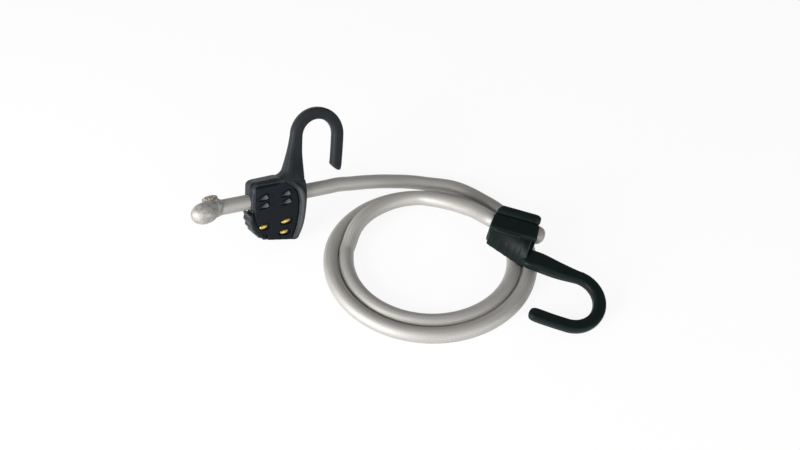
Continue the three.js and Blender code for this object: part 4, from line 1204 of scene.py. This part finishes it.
class BUNGEE_OT_metal(bpy.types.Operator):
    """Make the brass pin and studs and the lever's spring"""

    bl_idname = "bungee.metal"
    bl_label = "Pin, studs and spring"

    def execute(self, context):
        hooks = context.scene.bungee.hooks
        brass = metal_material("pressed_brass", hooks.brass_colour, rough=0.42, scratch=0.25)
        steel = metal_material("spring_wire", hooks.steel_colour, rough=0.32, scratch=0.3)
        for name, node, at in (
            ("brass_pin", "lever_pin", PIVOT),
            ("brass_stud_upper", "cover_stud_upper", STUD_UPPER),
            ("brass_stud_lower", "cover_stud_lower", STUD_LOWER),
        ):
            rivet = tubes_object(name, [(self.rivet(*at, HEAD_LONG[node]), None)])
            rivet.data.set_sharp_from_angle(angle=40 * DEG)
            finish_piece(rivet, brass, "adjuster", "brass", node)
        spring = tubes_object("torsion_spring", [(self.spring(), None)])
        spring.data.materials.append(steel)
        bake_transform(spring)
        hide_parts("lever_spring")
        return {"FINISHED"}

    def rivet(self, x, z, long, columns=48):
        """A profile of radius and depth turned round the rivet's axis: an oval domed head in front,
        a round shank, and a turned-over collar behind. The head is stretched and leaned in its plane."""
        front = HEAD_SUNK - BODY_HALF - GAP
        rear = BODY_HALF + GAP
        dome = np.linspace(88, 0, 12) * DEG
        head = np.column_stack([HEAD_R * np.cos(dome), front - HEAD_H * np.sin(dome)])
        under = np.array([[1.5, front]])
        shank = np.array([[RIVET_R, front + 0.02], [RIVET_R, rear - 0.02], [1.62, rear], [1.68, rear]])
        collar = np.column_stack([COLLAR_R * np.cos(dome[::-1]), rear + COLLAR_H * np.sin(dome[::-1])])
        profile = np.vstack([head, under, shank, collar])
        in_head = np.arange(len(profile))[:, None] <= len(head)
        px = profile[:, :1] * np.cos(ring_angles(columns)) * np.where(in_head, long, 1.0)
        pz = -profile[:, :1] * np.sin(ring_angles(columns))
        lean_x, lean_z = leaned(px, pz, HEAD_LEAN)
        points = np.stack([
            x + np.where(in_head, HEAD_ASIDE + lean_x, px),
            np.broadcast_to(profile[:, 1:], px.shape),
            z + np.where(in_head, lean_z, pz),
        ], axis=-1)
        return to_world(points, adjuster_frame())

    def spring(self):
        """A round wire: a leg, two and a quarter turns about the pin with an even pitch, and a foot
        that goes back into the housing."""
        count = np.arange(32)
        angle = count * (2 * math.pi / SPRING_POINTS)
        depth = SPRING_FRONT + SPRING_PITCH * count / SPRING_POINTS
        turns = np.column_stack([SPRING_R * np.cos(angle), depth, SPRING_R * np.sin(angle)])
        leg = [[SPRING_R, SPRING_FRONT, -down] for down in SPRING_LEG]
        points = np.vstack([leg, turns, turns[-1] + SPRING_FOOT]) + [PIVOT[0], 0, PIVOT[1]]
        line, _ = even_steps(smooth_route(points, 8), 0.25)
        rows = carried(line, (0.13, 0.99, 0.05), SPRING_WIRE, SPRING_WIRE, 14)
        return to_world(rows, adjuster_frame())


class BUNGEE_PT_panel(bpy.types.Panel):
    """Lists the settings and the steps of the bungee cord"""

    bl_idname = "BUNGEE_PT_panel"
    bl_label = "Bungee cord"
    bl_space_type = "VIEW_3D"
    bl_region_type = "UI"
    bl_category = "Bungee"

    def draw(self, context):
        settings = context.scene.bungee
        for group in (settings.cord, settings.hooks, settings.stage):
            box = self.layout.box()
            for key in group.__annotations__:
                box.prop(group, key)
        for step in STEPS:
            self.layout.operator(step.bl_idname)


STEPS = (BUNGEE_OT_stage, BUNGEE_OT_cord, BUNGEE_OT_adjuster, BUNGEE_OT_end_hook, BUNGEE_OT_metal)
CLASSES = (CordSettings, HookSettings, StageSettings, BungeeSettings, *STEPS, BUNGEE_PT_panel)


def register():
    for made in CLASSES:
        bpy.utils.register_class(made)
    bpy.types.Scene.bungee = PointerProperty(type=BungeeSettings)


def unregister():
    del bpy.types.Scene.bungee
    for made in reversed(CLASSES):
        bpy.utils.unregister_class(made)


def main():
    register()
    bpy.ops.bungee.stage()
    bpy.ops.bungee.cord()
    bpy.ops.bungee.adjuster()
    bpy.ops.bungee.end_hook()
    bpy.ops.bungee.metal()
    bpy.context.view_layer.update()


if __name__ == "__main__":
    main()
